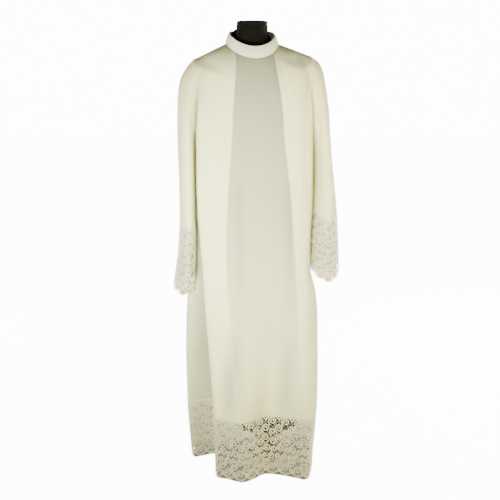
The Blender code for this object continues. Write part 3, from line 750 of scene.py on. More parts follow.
# How much of the painted shade is left at each height, in the centre and in the left gully.
CENTRE_SHADE_Z = (0.20, 0.35, 0.47, 0.60, 0.80, 0.95, 1.10, 1.38)
CENTRE_SHADE = (0.10, 0.10, 0.27, 0.42, 0.68, 0.80, 0.82, 1.00)
GULLY_SHADE_Z, GULLY_SHADE = (0.20, 0.40, 0.70, 0.90), (0.55, 0.85, 0.85, 0.10)
# Where the gully's painted shade starts and ends, in lines from the left seam, and the columns of
# a pleat over which the folded edge gives way to the single centre.
GULLY_STARTS, GULLY_ENDS, TURNS_IN = (0.0, 0.8), (2.3, 3.0), (4, 9)
# Painted shade in the hollows of the skirt's folds, where the cloth swings in towards the black
# form.
SHADED_HOLLOWS = (
    ("left pleat hollow", (-.064, 1.000), (-.052, 0.600), .016, .18),
    ("left skirt hollow", (-.086, 0.480), (-.102, 0.220), .026, .62),
    ("right pleat hollow", (.104, 1.000), (.110, 0.540), .016, .22),
    ("right skirt hollow", (.106, 0.470), (.088, 0.220), .022, .42),
)


def painted_shoulder_shade(side, height):
    """Painted shade on the shoulder top, one layer on the form facing up, away from the lights;
    none below it.
    """
    return SHOULDER_SHADE[side] * smooth_step(*SHOULDER_SHADE_Z, height)


def front_shade_row(down):
    """Painted shade along a row: most on one layer over black, in the fold's shade and on the
    shoulders, less on pleats and hanging folds.
    """
    left, right = robe(FRONT_LEFT, down, FRONT)[:, 2], robe(FRONT_RIGHT, down, FRONT)[:, 2]
    # The left gully lies in the shade of the fold: painted shade there.
    gully = ((0.4 + 0.6 * smooth_step(*GULLY_STARTS, FRONT_LEFT))
             * (1 - smooth_step(*GULLY_ENDS, FRONT_LEFT)) * np.interp(left, GULLY_SHADE_Z, GULLY_SHADE))
    beside = [0.0] * (BESIDE_COLUMNS - 1)
    turned_in = list(smooth_step(*TURNS_IN, np.arange(len(pleat_curve))))
    row = np.array(beside + turned_in + [1.0] * CENTRE_COLUMNS + turned_in[::-1] + beside)
    row = np.maximum(row * np.interp(left[-1], CENTRE_SHADE_Z, CENTRE_SHADE),
                     painted_shoulder_shade("left", left[-1]))
    return np.concatenate([np.maximum(gully, painted_shoulder_shade("left", left)), row,
                           painted_shoulder_shade("right", right)])


front_shade = np.array([front_shade_row(down) for down in DOWNS])
print("the front's backing runs from", front_shade.min().round(2), "to", front_shade.max().round(2))

# %% Front creases and the panel
FRONT_CREASES = (
    ("left shoulder drag", (-.188, 1.370), (-.100, 1.336), .011, .0048),
    ("left shoulder hollow", (-.172, 1.394), (-.105, 1.366), .014, -.0040),
    ("left shoulder roll", (-.165, 1.342), (-.118, 1.290), .014, .0024),
    ("left neck drag", (-.092, 1.405), (-.128, 1.345), .012, .0022),
    ("right shoulder drag", (.092, 1.386), (.144, 1.354), .010, .0044),
    ("right shoulder turn", (.150, 1.354), (.186, 1.382), .009, .0044),
    ("right shoulder hollow", (.112, 1.396), (.168, 1.396), .013, -.0040),
    ("right shoulder roll", (.160, 1.350), (.120, 1.312), .012, .0030),
    ("left armhole hollow", (-.184, 1.350), (-.172, 1.215), .010, -.0060),
    ("right armhole hollow", (.184, 1.355), (.172, 1.225), .009, -.0056),
    ("left chest fall", (-.128, 1.290), (-.140, 0.900), .016, .0027),
    ("right chest fall", (.140, 1.280), (.146, 0.930), .014, .0033),
    ("right chest trough", (.160, 1.230), (.168, 0.980), .010, -.0036),
    ("centre left wave", (-.030, 1.180), (-.038, 0.760), .018, -.0018),
    ("centre right wave", (.040, 1.120), (.046, 0.640), .016, .0021),
    ("left thigh wave", (-.120, 0.860), (-.112, 0.420), .015, -.0030),
    ("left skirt ridge", (-.140, 0.700), (-.124, 0.300), .012, .0033),
    ("centre skirt wave", (.012, 0.680), (.010, 0.240), .024, .0045),
    ("right skirt trough", (.088, 0.760), (.092, 0.230), .022, -.0070),
    ("left skirt trough", (-.052, 0.700), (-.050, 0.230), .020, -.0060),
    ("right skirt ridge", (.156, 0.600), (.160, 0.260), .012, .0030),
)
front_grid = press(front_grid, FRONT_CREASES)
# The front carries its painted shade: grey over the black form, in the fold's shade, on the
# shoulders and in the hollows.
front = cloth_from_grid("front_cloth", front_grid, ivory.material,
                        painted_shade=front_shade + crease_depth(front_grid[..., [0, 2]], SHADED_HOLLOWS))
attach(front, "root")
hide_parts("front")
declare(front_grid)

# %% [markdown]
# ## The back
#
# The back is plain. It hangs from the collar and the shoulders, turns in at the waist,
# and opens below into a few deep, even waves.

# %% Back panel
BACK_CREASES = (
    ("left shoulder drag", (-.168, 1.380), (-.108, 1.312), .012, -.0067),
    ("right shoulder drag", (.170, 1.388), (.112, 1.320), .012, -.0072),
    ("left armhole hollow", (-.172, 1.330), (-.166, 1.210), .012, -.0062),
    ("right armhole hollow", (.174, 1.335), (.168, 1.215), .012, -.0067),
    ("yoke wave", (-.050, 1.330), (.062, 1.322), .013, -.0034),
    ("left blade fall", (-.108, 1.290), (-.122, 0.860), .017, .0053),
    ("right blade fall", (.112, 1.280), (.126, 0.880), .016, .0048),
    ("centre fall", (.012, 1.180), (.006, 0.700), .016, -.0038),
    ("left waist wave", (-.062, 1.060), (-.058, 0.560), .014, .0038),
    ("right waist wave", (.066, 1.020), (.062, 0.520), .015, .0037),
    ("left skirt ridge", (-.150, 0.640), (-.160, 0.260), .013, .0053),
    ("right skirt trough", (.148, 0.700), (.160, 0.300), .014, -.0048),
    ("left skirt trough", (-.048, 0.600), (-.052, 0.250), .013, -.0043),
    ("right skirt ridge", (.082, 0.560), (.088, 0.250), .012, .0043),
)
back_places = columns_between(LINE["right_seam"], len(LINES))
back_places[0] += SIDE_GAP
back_places[-1] -= SIDE_GAP
back_grid = press(np.array([robe(back_places, down, BEHIND) for down in DOWNS]), BACK_CREASES)
back = cloth_from_grid("back_cloth", back_grid, ivory.material)
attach(back, "root")
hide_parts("back")
declare(back_grid)

# %% [markdown]
# ## The sleeves
#
# A sleeve is a tapered tube set into the armhole. Its first ring is the armhole itself,
# then it rounds over the shoulder and hangs straight, a little open at the cuff.

# %% Sleeve sizes
# Rings from the armhole down: name, outer x and z, inner x and z, middle y, half depth,
# and how much the ring rises towards the back.
SLEEVE_GAP = 0.0012
SLEEVE = {
    -1: (
        ("armhole", .192, 1.397, .187, 1.170, -.035, .070, .00),
        ("cap", .2140, 1.374, .1915, 1.162, -.036, .078, .00),
        ("crown", .2330, 1.343, .1945, 1.148, -.037, .083, .00),
        ("upper", .2440, 1.300, .1945, 1.128, -.038, .086, .00),
        ("biceps", .2485, 1.220, .1940, 1.090, -.038, .088, .00),
        ("elbow", .2490, 1.080, .1935, 1.020, -.038, .088, .02),
        ("forearm", .2470, .960, .1930, .940, -.038, .088, .08),
        ("cuff", .2450, .868, .1925, .868, -.038, .088, .12),
        ("mid_lace", .2520, .755, .1930, .755, -.038, .090, .12),
        ("edge", .2680, .642, .1950, .642, -.040, .093, .14)),
    1: (
        ("armhole", .192, 1.409, .187, 1.170, -.035, .070, .00),
        ("cap", .2200, 1.391, .1945, 1.162, -.034, .078, .00),
        ("crown", .2360, 1.358, .2010, 1.148, -.033, .083, .00),
        ("upper", .2430, 1.312, .2070, 1.128, -.032, .086, .00),
        ("biceps", .2550, 1.215, .2140, 1.090, -.030, .088, .02),
        ("elbow", .2710, 1.060, .2190, 1.020, -.028, .088, .12),
        ("forearm", .2830, .965, .2160, .965, -.026, .089, .28),
        ("cuff", .2890, .912, .2100, .912, -.026, .089, .45),
        ("mid_lace", .2950, .808, .2010, .808, -.028, .091, .45),
        ("edge", .2990, .702, .1990, .702, -.030, .093, .45)),
}
RING = {row[0]: number for number, row in enumerate(SLEEVE[1])}
# How far the back of each ring leans in towards the robe.
BACK_LEAN = {-1: (0, .004, .012, .022, .028, .022, .012, .009, .004, 0),
             1: (0, 0, .005, .014, .022, .024, .018, .012, .005, 0)}
print("sleeve rings:", list(RING))

# %% Rings of a sleeve
def sleeve_rings(side, angles):
    """Every ring of a sleeve at many angles: 0 is the outer side, + goes to the back."""
    rings = []
    for row, lean in zip(SLEEVE[side], BACK_LEAN[side]):
        name, outer_x, outer_z, inner_x, inner_z, middle_y, depth, rise = row
        across, y = np.cos(angles), depth * np.sin(angles)
        ring = np.column_stack([
            side * ((outer_x + inner_x) / 2 + (outer_x - inner_x) / 2 * across
                    - lean * np.maximum(0, np.sin(angles))),
            middle_y + y,
            (outer_z + inner_z) / 2 + (outer_z - inner_z) / 2 * across + rise * y])
        if name == "armhole":
            for number, angle in enumerate(angles):
                away = BEHIND if math.sin(angle) > 0 else FRONT
                seam = LINE["right_seam"] if side > 0 else (len(LINES) if away > 0 else 0)
                ring[number] = robe(np.array([float(seam)]), (1 - math.cos(angle)) / 2, away)[0]
            ring[:, 0] += side * SLEEVE_GAP
        rings.append(ring)
    return np.array(rings)


def sleeve(side, places, angles):
    """A grid of points of a sleeve; places count in rings."""
    sizes = np.array([row[1:5] for row in SLEEVE[side]])
    drops = (np.linalg.norm(np.diff(sizes[:, :2], axis=0), axis=1)
             + np.linalg.norm(np.diff(sizes[:, 2:], axis=0), axis=1))
    knots = np.concatenate([[0.0], np.cumsum(drops ** 0.5)])
    return smooth_curve(knots, sleeve_rings(side, angles),
                        np.interp(places, np.arange(len(knots)), knots))


print("left cuff's outer edge at", sleeve(-1, [RING["cuff"]], np.zeros(1))[0, 0].round(3))

# %% Sleeve creases
SLEEVE_SIDES, SLEEVE_ROWS = 92, 78
SLEEVE_RADIUS = 0.088
# Spots on a sleeve: metres of cloth round from its outer line, + to the back, and height.
SLEEVE_CREASES = {
    -1: (("cap drag", (-.060, 1.340), (-.110, 1.230), .012, -.0035),
         ("cap roll", (-.020, 1.330), (-.070, 1.180), .014, .0027),
         ("front fall", (-.075, 1.150), (-.082, .900), .012, .0027),
         ("outer fall", (-.010, 1.120), (.004, .890), .014, -.0024),
         ("inner fall", (-.165, 1.080), (-.160, .880), .012, -.0035),
         ("seam hollow", (-.178, 1.345), (-.185, 1.225), .010, -.0060),
         ("elbow bend", (-.120, 1.070), (-.060, 1.030), .010, -.0024),
         ("back fall", (.090, 1.200), (.095, .890), .015, .0030),
         ("back drag", (.050, 1.320), (.110, 1.220), .012, -.0032)),
    1: (("cap drag", (-.065, 1.345), (-.112, 1.240), .012, -.0035),
        ("cap roll", (-.015, 1.335), (-.060, 1.190), .014, .0030),
        ("front fall", (-.060, 1.160), (-.070, .930), .012, -.0030),
        ("front ridge", (-.100, 1.120), (-.110, .930), .011, .0032),
        ("inner fall", (-.170, 1.090), (-.165, .930), .012, -.0032),
        ("seam hollow", (-.180, 1.350), (-.190, 1.150), .010, -.0068),
        ("elbow bend", (-.118, 1.080), (-.050, 1.050), .010, -.0024),
        ("back fall", (.085, 1.210), (.092, .930), .015, .0032),
        ("back drag", (.052, 1.330), (.108, 1.230), .012, -.0032)),
}
print("creases on the left and right sleeve:", [len(rows) for rows in SLEEVE_CREASES.values()])

# %% Both sleeves
def sleeve_cloth(side, name):
    """One sleeve from the armhole to the top of its lace."""
    angles = side * np.arange(SLEEVE_SIDES) * 2 * math.pi / SLEEVE_SIDES
    grid = sleeve(side, np.linspace(0, RING["cuff"], SLEEVE_ROWS), angles)
    turns = (side * angles + math.pi) % (2 * math.pi) - math.pi
    round_it = np.broadcast_to(side * turns * SLEEVE_RADIUS, grid.shape[:2])
    depth = crease_depth(np.stack([round_it, grid[..., 2]], axis=-1), SLEEVE_CREASES[side])
    depth = depth * smooth_step(0, 5, np.arange(SLEEVE_ROWS))[:, None]
    grid = grid + grid_normals(grid, closed=True) * depth[..., None]
    made = cloth_from_grid(name + "_cloth", grid, ivory.material, closed=True)
    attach(made, "root")
    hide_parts(name)
    declare(grid, closed=True)


sleeve_cloth(-1, "sleeve_left")
sleeve_cloth(1, "sleeve_right")

# %% [markdown]
# ## The collar
#
# The collar is a band of cloth folded over, so it is thicker than the rest and its top
# edge is a soft roll. Its section is a slim loop, carried round the neck.

# %% Rolls of cloth
def loop_from_grid(name, points, finish):
    """A closed roll of cloth: a grid that closes both ways, rows round its section."""
    rows, columns = points.shape[:2]
    thing = new_object(name, points.reshape(-1, 3), grid_faces(rows, columns, True, True), finish)
    along, round_it = np.meshgrid(run_along(points[0]), run_along(points[:, 0]))
    give_uv(thing, "cloth", np.column_stack([along.ravel(), round_it.ravel()]))
    give_values(thing, "painted_shade")
    return thing


def collar_out(angle):
    """The collar's outward direction at an angle."""
    side, up = np.array((math.sin(angle), -math.cos(angle), 0.0)), collar_up(angle)
    return unit(side - up * (side @ up))


print("the collar's front faces", collar_out(0.0).round(3))

# %% Collar band
BAND = 0.0030
COLLAR_RISE = 0.0010
COLLAR_BULGE = 0.0018
COLLAR_COLUMNS = 160


def collar_grid():
    """The collar's section, down the outside and up the inside, all round the neck."""
    half = BAND / 2
    down = [(1 - share, half) for share in np.linspace(0.06, 0.94, 8)]
    turn = [(0.0, half * math.cos(angle), -half * math.sin(angle))
            for angle in np.linspace(0, math.pi, 7)[1:-1]]
    roll = [(1.0, half * math.cos(angle), -half * math.sin(angle))
            for angle in np.linspace(math.pi, 2 * math.pi, 7)[1:-1]]
    section = ([(high, out, 0.0) for high, out in down] + turn
               + [(1 - high, -out, 0.0) for high, out in down] + roll)
    grid = np.zeros((len(section), COLLAR_COLUMNS, 3))
    for column in range(COLLAR_COLUMNS):
        angle = 2 * math.pi * column / COLLAR_COLUMNS
        up = collar_up(angle)
        low = collar_edge(COLLAR_BASE, angle) + up * (COLLAR_RISE + half)
        high = collar_edge(COLLAR_TOP, angle) - up * half
        out = collar_out(angle)
        for row, (share, away, above) in enumerate(section):
            swell = COLLAR_BULGE * 4 * share * (1 - share)
            grid[row, column] = low + (high - low) * share + out * (away + swell) + up * above
    return grid


collar = loop_from_grid("collar_band", collar_grid(), ivory.material)
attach(collar, "root")
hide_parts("collar")
# The collar is lighter: interlined, and painted light standing in for the light that falls on it.
give_values(collar, "faced_lit", np.ones(len(collar.data.vertices)))
declare(collar_grid()[:9], closed=True)

# %% [markdown]
# ## The lace, drawn flat
#
# The lace is guipure: thick stitched cords that curl into scrolls, held together by fine
# bars, with no net behind them. One repeat is 48 mm wide and is drawn flat here, in
# millimetres from the cloth's edge down. Rows of scrolls wind the same way, small
# pointed gaps sit under the cloth, and a scalloped double border closes the foot.

# %% Scrolls
CORD_STEP = 18.0


def scroll(across, down, radius, start, hand=1, lead=50.0, last=2.4):
    """A scroll's middle line: it winds inwards from a lead, clockwise when hand is 1."""
    turns = max(1.2, radius / 8.8)
    count = round((turns * 360 + lead) / CORD_STEP)
    swept = np.linspace(-lead, turns * 360, count + 1)
    reach = radius + (last - radius) * np.maximum(swept, 0) / (turns * 360)
    reach = reach + 0.0018 * np.minimum(swept, 0) ** 2
    angle = np.radians(start + hand * swept)
    return np.column_stack([across + reach * np.cos(angle), down + reach * np.sin(angle)])


def double_scroll(one, other, bulge):
    """Two scrolls on one cord, which bows out by bulge between them."""
    first, second = scroll(*one, lead=0)[::-1], scroll(*other, lead=0)
    run = second[0] - first[-1]
    side = np.array((run[1], -run[0])) / np.linalg.norm(run)
    spine = [first[-1] + run * share + side * bulge * 4 * share * (1 - share)
             for share in (0.25, 0.5, 0.75)]
    return np.vstack([first, spine, second])


def bars(across, down, radius, start, hand=1):
    """Two short bars that tie a scroll's turns together."""
    made = []
    for turn in (70, 250):
        angle = math.radians(start + hand * turn)
        ray = np.array((math.cos(angle), math.sin(angle)))
        made.append(np.array([(across, down)] + ray * [[0.98 * radius], [0.35 * radius]]))
    return made


print("a scroll of 14 mm has", len(scroll(0, 0, 14, 0)), "points")

# %% The scrolls of each band
REPEAT = 48.0
# Scrolls: middle across and down, radius, where the cord comes in (degrees, clockwise
# from the right), and the way it winds.
UPPER_SCROLLS = ((24, 16.6, 14.2, 172), (0, 42, 14.6, 165), (24, 55, 10.8, 150),
                 (-1, 75, 13.4, 150))
HEM_SINGLES = UPPER_SCROLLS + ((30, 117, 10.6, 170), (20, 142, 12.4, 160), (44, 138, 8.6, 160),
                               (-1, 162, 12.8, 150), (24, 179, 12.6, 185), (0, 183, 6.6, 60))
CUFF_SINGLES = UPPER_SCROLLS + ((30, 117, 10.6, 170), (20, 143, 12.8, 160), (44, 139, 8.6, 160),
                                (-2, 166, 13.0, 150), (23, 176, 11.6, 150), (1, 196, 11.0, 185),
                                (25, 203, 11.8, 185))
DOUBLES = (((25, 89, 12.6, 222), (6, 109, 13.2, 222, -1), 1.6),)


def all_scrolls(singles):
    """Every scroll of a repeat, the ones on double cords too."""
    return singles + tuple(row for pair in DOUBLES for row in pair[:2])


print("scrolls in a repeat:", len(all_scrolls(HEM_SINGLES)), "and", len(all_scrolls(CUFF_SINGLES)))

# %% One repeat of cords and bars
def lace_edge(across, depth, inside=0.0):
    """Distance down to the scalloped edge, in millimetres."""
    swing = abs(np.sin(np.pi * np.asarray(across) / REPEAT))
    return depth - inside - 1000 * SCALLOP * (1 - swing)


PICOTS = 10


def mirrored(*spots):
    """A line of spots beside the edge of a repeat, and its mirror image."""
    return [np.array([(hand * across, down) for across, down in spots]) for hand in (-1, 1)]


def repeat_cords(singles, depth):
    """Thick cords and fine bars of one repeat, as lists of flat lines."""
    steps = np.linspace(0, REPEAT, 13)
    thick = [scroll(*row) for row in singles] + [double_scroll(*row) for row in DOUBLES]
    thick += mirrored((11.5, 0.6), (5.5, 6.6), (0.0, 13.4))
    thick += [np.column_stack([steps, 0 * steps + 0.2]),
              np.column_stack([steps, lace_edge(steps, depth, 1.2)])]
    fine = [bar for row in all_scrolls(singles) for bar in bars(*row)]
    fine += mirrored((0.0, 5.0), (4.6, 1.0))
    fine += [np.array([(0.0, 13.0), (0.0, 5.0)]), np.array([(0.0, 13.4), (0.0, 27.0)]),
             np.column_stack([steps, lace_edge(steps, depth, 7.4)])]
    for number in range(PICOTS):
        across = (number + 0.5) * REPEAT / PICOTS
        fine.append(np.array([(across, lace_edge(across, depth, inside))
                              for inside in (7.2, 1.4)]))
    turn = np.linspace(0, math.pi, 4)
    for number in range(PICOTS):
        across = (number + 0.5 - 0.46 * np.cos(turn)) * REPEAT / PICOTS
        drop = lace_edge(across, depth, 0.9) + 2.3 * np.sin(turn)
        fine.append(np.column_stack([across, drop]))
    return thick, fine


print("cords and bars in a repeat:",
      [len(lines) for lines in repeat_cords(HEM_SINGLES, 1000 * HEM_LACE)])

# %% The ground between the scrolls
GROUND_STEP = 0.8
# The pointed gaps under the cloth: how far down and how far to each side they reach.
GAP_DOWN, GAP_SIDE = 14.5, 12.5


def ground_bars(singles, depth, apart, close):
    """Slanting bars a distance apart: a close ground runs on behind the scrolls."""
    made = []
    for slant in (1, -1):
        for first in np.arange(0.0, REPEAT - 0.1, apart):
            down = np.arange(2.0, depth - 4.0, GROUND_STEP)
            across = first + slant * (down - 2.0)
            wrapped = across % REPEAT
            free = down < lace_edge(wrapped, depth, 7.6)
            from_gap = np.minimum(wrapped, REPEAT - wrapped)
            free &= (down > GAP_DOWN) | (from_gap > GAP_SIDE * (1 - down / (GAP_DOWN - 0.5)))
            for middle, low, radius, *_ in () if close else all_scrolls(singles):
                for copy in (-REPEAT, 0, REPEAT):
                    free &= np.hypot(wrapped - middle - copy, down - low) > radius + 0.4
            edges = np.flatnonzero(np.diff(np.concatenate([[0], free.astype(int), [0]])))
            for start, end in zip(edges[::2], edges[1::2]):
                if end - start >= 3:
                    start, end = max(start - 1, 0), min(end, len(down) - 1)
                    pieces = 1 + (end - start) // 14
                    picked = np.linspace(start, end, pieces + 1).round().astype(int)
                    made.append(np.column_stack([across[picked], down[picked]]))
    return made


print("open ground bars in a repeat:",
      len(ground_bars(HEM_SINGLES, 1000 * HEM_LACE, REPEAT / 4, False)))

# %% [markdown]
# ## Lace laid on the robe
#
# Each flat line becomes a cord on the surface that the lace hangs on. The surface is
# sampled once, as a grid of points and outward directions, and every cord looks up its
# own points there. A cord is an oval tube: wide in the lace, thin through it.

# %% The surface that the lace hangs on
class Cloth:
    """A surface measured in millimetres across and down, with a point for each spot."""

    def __init__(self, points, first, across_step, down_step):
        self.points, self.first = points, first
        self.steps = np.array((across_step, down_step))
        self.normals = grid_normals(points)

    def at(self, spots):
        """Points and outward directions at flat spots."""
        rows, columns = self.points.shape[:2]
        place = (spots - (self.first, 0.0)) / self.steps
        column = np.clip(place[:, 0], 0, columns - 1.001)
        row = np.clip(place[:, 1], 0, rows - 1.001)
        left, top = column.astype(int), row.astype(int)
        u, v = (column - left)[:, None], (row - top)[:, None]
        found = []
        for grid in (self.points, self.normals):
            found.append((grid[top, left] * (1 - u) + grid[top, left + 1] * u) * (1 - v)
                         + (grid[top + 1, left] * (1 - u) + grid[top + 1, left + 1] * u) * v)
        return found[0], unit(found[1])


square = np.array([[(x, 0.0, z) for x in (0.0, 0.1)] for z in (0.1, 0.0)])
print("middle of a flat square, and where it faces:",
      *Cloth(square, 0.0, 100.0, 100.0).at(np.array([[50.0, 50.0]])))

# %% Flat lines to cords
def tube_faces(first, rings, sides):
    """Faces of a closed tube whose rings of points follow from a first point on."""
    faces = []
    for ring in range(rings - 1):
        here = first + ring * sides
        faces.extend((here + n, here + (n + 1) % sides, here + sides + (n + 1) % sides,
                      here + sides + n) for n in range(sides))
    end = first + (rings - 1) * sides
    return faces + [tuple(range(first, first + sides))[::-1], tuple(range(end, end + sides))]


def cord_mesh(lines, cloth, sides, wide, thick):
    """Points, faces and cord UVs of oval tubes along flat lines; sizes in metres."""
    points, faces, uvs = [], [], []
    turn = (np.arange(sides) + 0.5) * 2 * math.pi / sides
    for line in lines:
        middle, normal = cloth.at(line)
        along = unit(np.gradient(middle, axis=0))
        side = unit(np.cross(normal, along))
        rings = (middle[:, None] + side[:, None] * wide * np.cos(turn)[:, None]
                 + normal[:, None] * thick * np.sin(turn)[:, None])
        faces += tube_faces(len(points), len(line), sides)
        points.extend(rings.reshape(-1, 3))
        uvs.extend((length, number * 0.001) for length in run_along(middle)
                   for number in range(sides))
    return points, faces, uvs


print("a cord of 10 points has", len(tube_faces(0, 10, 6)), "faces")

# %% A whole band of lace
# Half widths and half thicknesses, in metres.
THICK_CORD, FINE_BAR = (0.00225, 0.00105), (0.00044, 0.00040)
# The ground of each band: its spacing in millimetres, whether it runs on behind the
# scrolls, and the size of its bars.
OPEN_HEM, OPEN_CUFF = (REPEAT / 4, False, FINE_BAR), (REPEAT / 4, False, (0.00050, 0.00040))
CLOSE_GROUND = (REPEAT / 6, True, (0.00070, 0.00040))


def lace_piece(name, cloth, girth, singles, depth, ground):
    """A band of lace: every repeat of its cords and bars, on one surface."""
    repeats = round(girth / 1000 / LACE_PITCH)
    pitch = girth / repeats
    apart, close, ground_bar = ground
    thick, fine = repeat_cords(singles, depth)
    points, faces, uvs, covered = [], [], [], 0.0
    for kinds, sides, sizes in ((thick, 6, THICK_CORD), (fine, 4, FINE_BAR),
                                (ground_bars(singles, depth, apart, close), 4, ground_bar)):
        lines = []
        for number in range(-5, repeats + 2):
            for line in kinds:
                moved = line + (number * REPEAT, 0.0)
                if -0.25 <= moved[:, 0].mean() < repeats * REPEAT - 0.25:
                    lines.append(moved * (pitch / REPEAT, 1.0))
        covered += sum(run_along(line)[-1] for line in lines) / 1000 * 2 * sizes[0]
        more, some_faces, some_uvs = cord_mesh(lines, cloth, sides, *sizes)
        faces += [tuple(corner + len(points) for corner in face) for face in some_faces]
        points += more
        uvs += some_uvs
    made = new_object(name + "_cords", points, faces, lace_cream.material)
    give_uv(made, "cord", uvs)
    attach(made, "root")
    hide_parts(name)
    flat = (girth / 1000, depth / 1000)
    share = min(1.0, max(0.3, covered / (flat[0] * flat[1])))
    share * flat[0] * flat[1]
    print(f"{name}: {repeats} repeats of {pitch:.1f} mm, cords cover {share:.2f} of it, "
          f"{sum(len(face) - 2 for face in faces)} triangles")
    return pitch


# %% Hem lace
LACE_SIDE = 1.2
# How far the sampled surface runs past the lace, and its steps, in millimetres.
BEYOND, DOWN_STEP, HEM_STEP, CUFF_STEP = 36.0, 5.0, 2.5, 2.0


def across_lace(edges, places, path, step):
    """Places a step apart from beyond one edge to beyond the other, and the lace's girth."""
    lengths = 1000 * run_along(path)
    start, end = np.interp(edges, places, lengths)
    girth = end - start - 2 * LACE_SIDE
    across = np.arange(-BEYOND, girth + BEYOND, step)
    return np.interp(across, lengths - start - LACE_SIDE, places), girth


def hem_cloth(first, last):
    """The robe below the hem seam, from one side seam to the other and a little beyond."""
    places = np.linspace(first - 1.5, last + 1.5, 3000)
    middle = level(places, HEM_SEAM_Z - HEM_LACE / 2)
    spots, girth = across_lace([first, last], places, middle, HEM_STEP)
    rows = [level(spots, HEM_SEAM_Z - down / 1000)
            for down in np.arange(0.0, 1000 * HEM_LACE + 8, DOWN_STEP)]
    return Cloth(np.array(rows), -BEYOND, HEM_STEP, DOWN_STEP), girth


for name, first, last, ground in (
        ("hem_lace_front", LINE["left_seam"], LINE["right_seam"], OPEN_HEM),
        ("hem_lace_back", LINE["right_seam"], len(LINES), CLOSE_GROUND)):
    cloth, girth = hem_cloth(first, last)
    lace_piece(name, cloth, girth, HEM_SINGLES, 1000 * HEM_LACE, ground)

# %% Cuff lace
def cuff_cloth(side, first, last):
    """Half of a sleeve below its cloth, between two angles and a little beyond."""
    angles = np.linspace(first - 0.8, last + 0.8, 1500)
    middle = sleeve(side, [RING["mid_lace"]], angles)[0]
    spots, girth = across_lace([first, last], angles, middle, CUFF_STEP)
    downs = np.arange(0.0, 1000 * CUFF_LACE + 10, DOWN_STEP)
    rings = RING["cuff"] + (RING["edge"] - RING["cuff"]) * downs / (1000 * CUFF_LACE)
    grid = sleeve(side, rings, spots)
    return Cloth(grid[:, ::-1] if side < 0 else grid, -BEYOND, CUFF_STEP, DOWN_STEP), girth


cuff_cloths = {}
for side, word in ((-1, "left"), (1, "right")):
    for part, first, last, ground in (("back", 0.0, math.pi, CLOSE_GROUND),
                                      ("front", -math.pi, 0.0, OPEN_CUFF)):
        cloth, girth = cuff_cloth(side, first, last)
        pitch = lace_piece(f"cuff_lace_{word}_{part}", cloth, girth, CUFF_SINGLES,
                           1000 * CUFF_LACE, ground)
        cuff_cloths[word, part] = cloth, girth, pitch

# %% [markdown]
# ## The dress form
#
# The form is a padded body without arms or legs under a black jersey cover. By hand it
# starts as a circle at the foot. The circle is extruded upwards ring by ring, and each
# ring is moved and scaled to the body's width and depth there. The jersey bunches in a
# soft fold where the neck comes out of the collar.

# %% Form sizes
# Rings from the underside to the flat neck top: height, half width, half depth, middle
# x and middle y.
FORM_RINGS = (
    (.114, .098, .070, .060, .015), (.126, .113, .082, .060, .015),
    (.420, .118, .086, .045, -.002), (.680, .138, .094, .020, -.028),
    (.860, .152, .096, .000, -.040), (1.020, .126, .084, .000, -.042),
    (1.110, .136, .090, .000, -.041), (1.200, .152, .096, .000, -.040),
    (1.300, .163, .092, .000, -.038), (1.365, .162, .072, .000, -.036),
    (1.393, .154, .058, .000, -.035), (1.409, .138, .052, .000, -.035),
    (1.4307, .110, .050, .000, -.0325), (1.4448, .082, .050, .000, -.0325),
    (1.455, .063, .050, .000, -.034), (1.470, .053, .051, .000, -.035),
    (1.5185, .0505, .0505, .000, -.035), (1.521, .0480, .0480, .000, -.035),
)
form_knots = [row[0] for row in FORM_RINGS]
form_heights = sorted(set(form_knots) | set(np.arange(.14, 1.51, .02).round(3)))
form_rows = [(height, *[float(np.interp(height, form_knots, column))
                        for column in list(zip(*FORM_RINGS))[1:]]) for height in form_heights]
print(len(form_rows), "rings up the form")

# %% Extrude the body ring by ring
def settle(thing):
    """Puts an object's place and size into its mesh."""
    only_selected(thing)
    bpy.ops.object.transform_apply(location=True, rotation=True, scale=True)


def oval(rows, sides, name):
    """A body of oval rings: a circle, then extruded, moved and scaled ring by ring."""
    height, wide, deep, x, y = rows[0]
    bpy.ops.object.select_all(action="DESELECT")
    bpy.ops.mesh.primitive_circle_add(vertices=sides, radius=1.0, fill_type="NGON")
    thing = bpy.context.active_object
    thing.name = thing.data.name = name
    thing.scale, thing.location = (wide, deep, 1.0), (x, y, height)
    settle(thing)
    bpy.ops.object.mode_set(mode="EDIT")
    bpy.ops.mesh.select_all(action="SELECT")
    bpy.ops.mesh.normals_make_consistent(inside=False)
    for before, after in zip(rows, rows[1:]):
        move = (after[3] - before[3], after[4] - before[4], after[0] - before[0])
        bpy.ops.mesh.extrude_region_move(TRANSFORM_OT_translate={"value": move})
        bpy.ops.transform.resize(value=(after[1] / before[1], after[2] / before[2], 1.0),
                                 center_override=(after[3], after[4], after[0]))
    bpy.ops.mesh.select_all(action="SELECT")
    bpy.ops.mesh.normals_make_consistent(inside=False)
    bpy.ops.object.mode_set(mode="OBJECT")
    return thing


form = oval(form_rows, 72, "form_jersey")
form.data.materials.append(jersey.material)
print("form:", len(form.data.polygons), "faces")

# %% The fold of jersey inside the collar
ROLL_WIDE, ROLL_HIGH = 0.0098, 0.0125
ROLL_ROWS, ROLL_COLUMNS = 16, 112


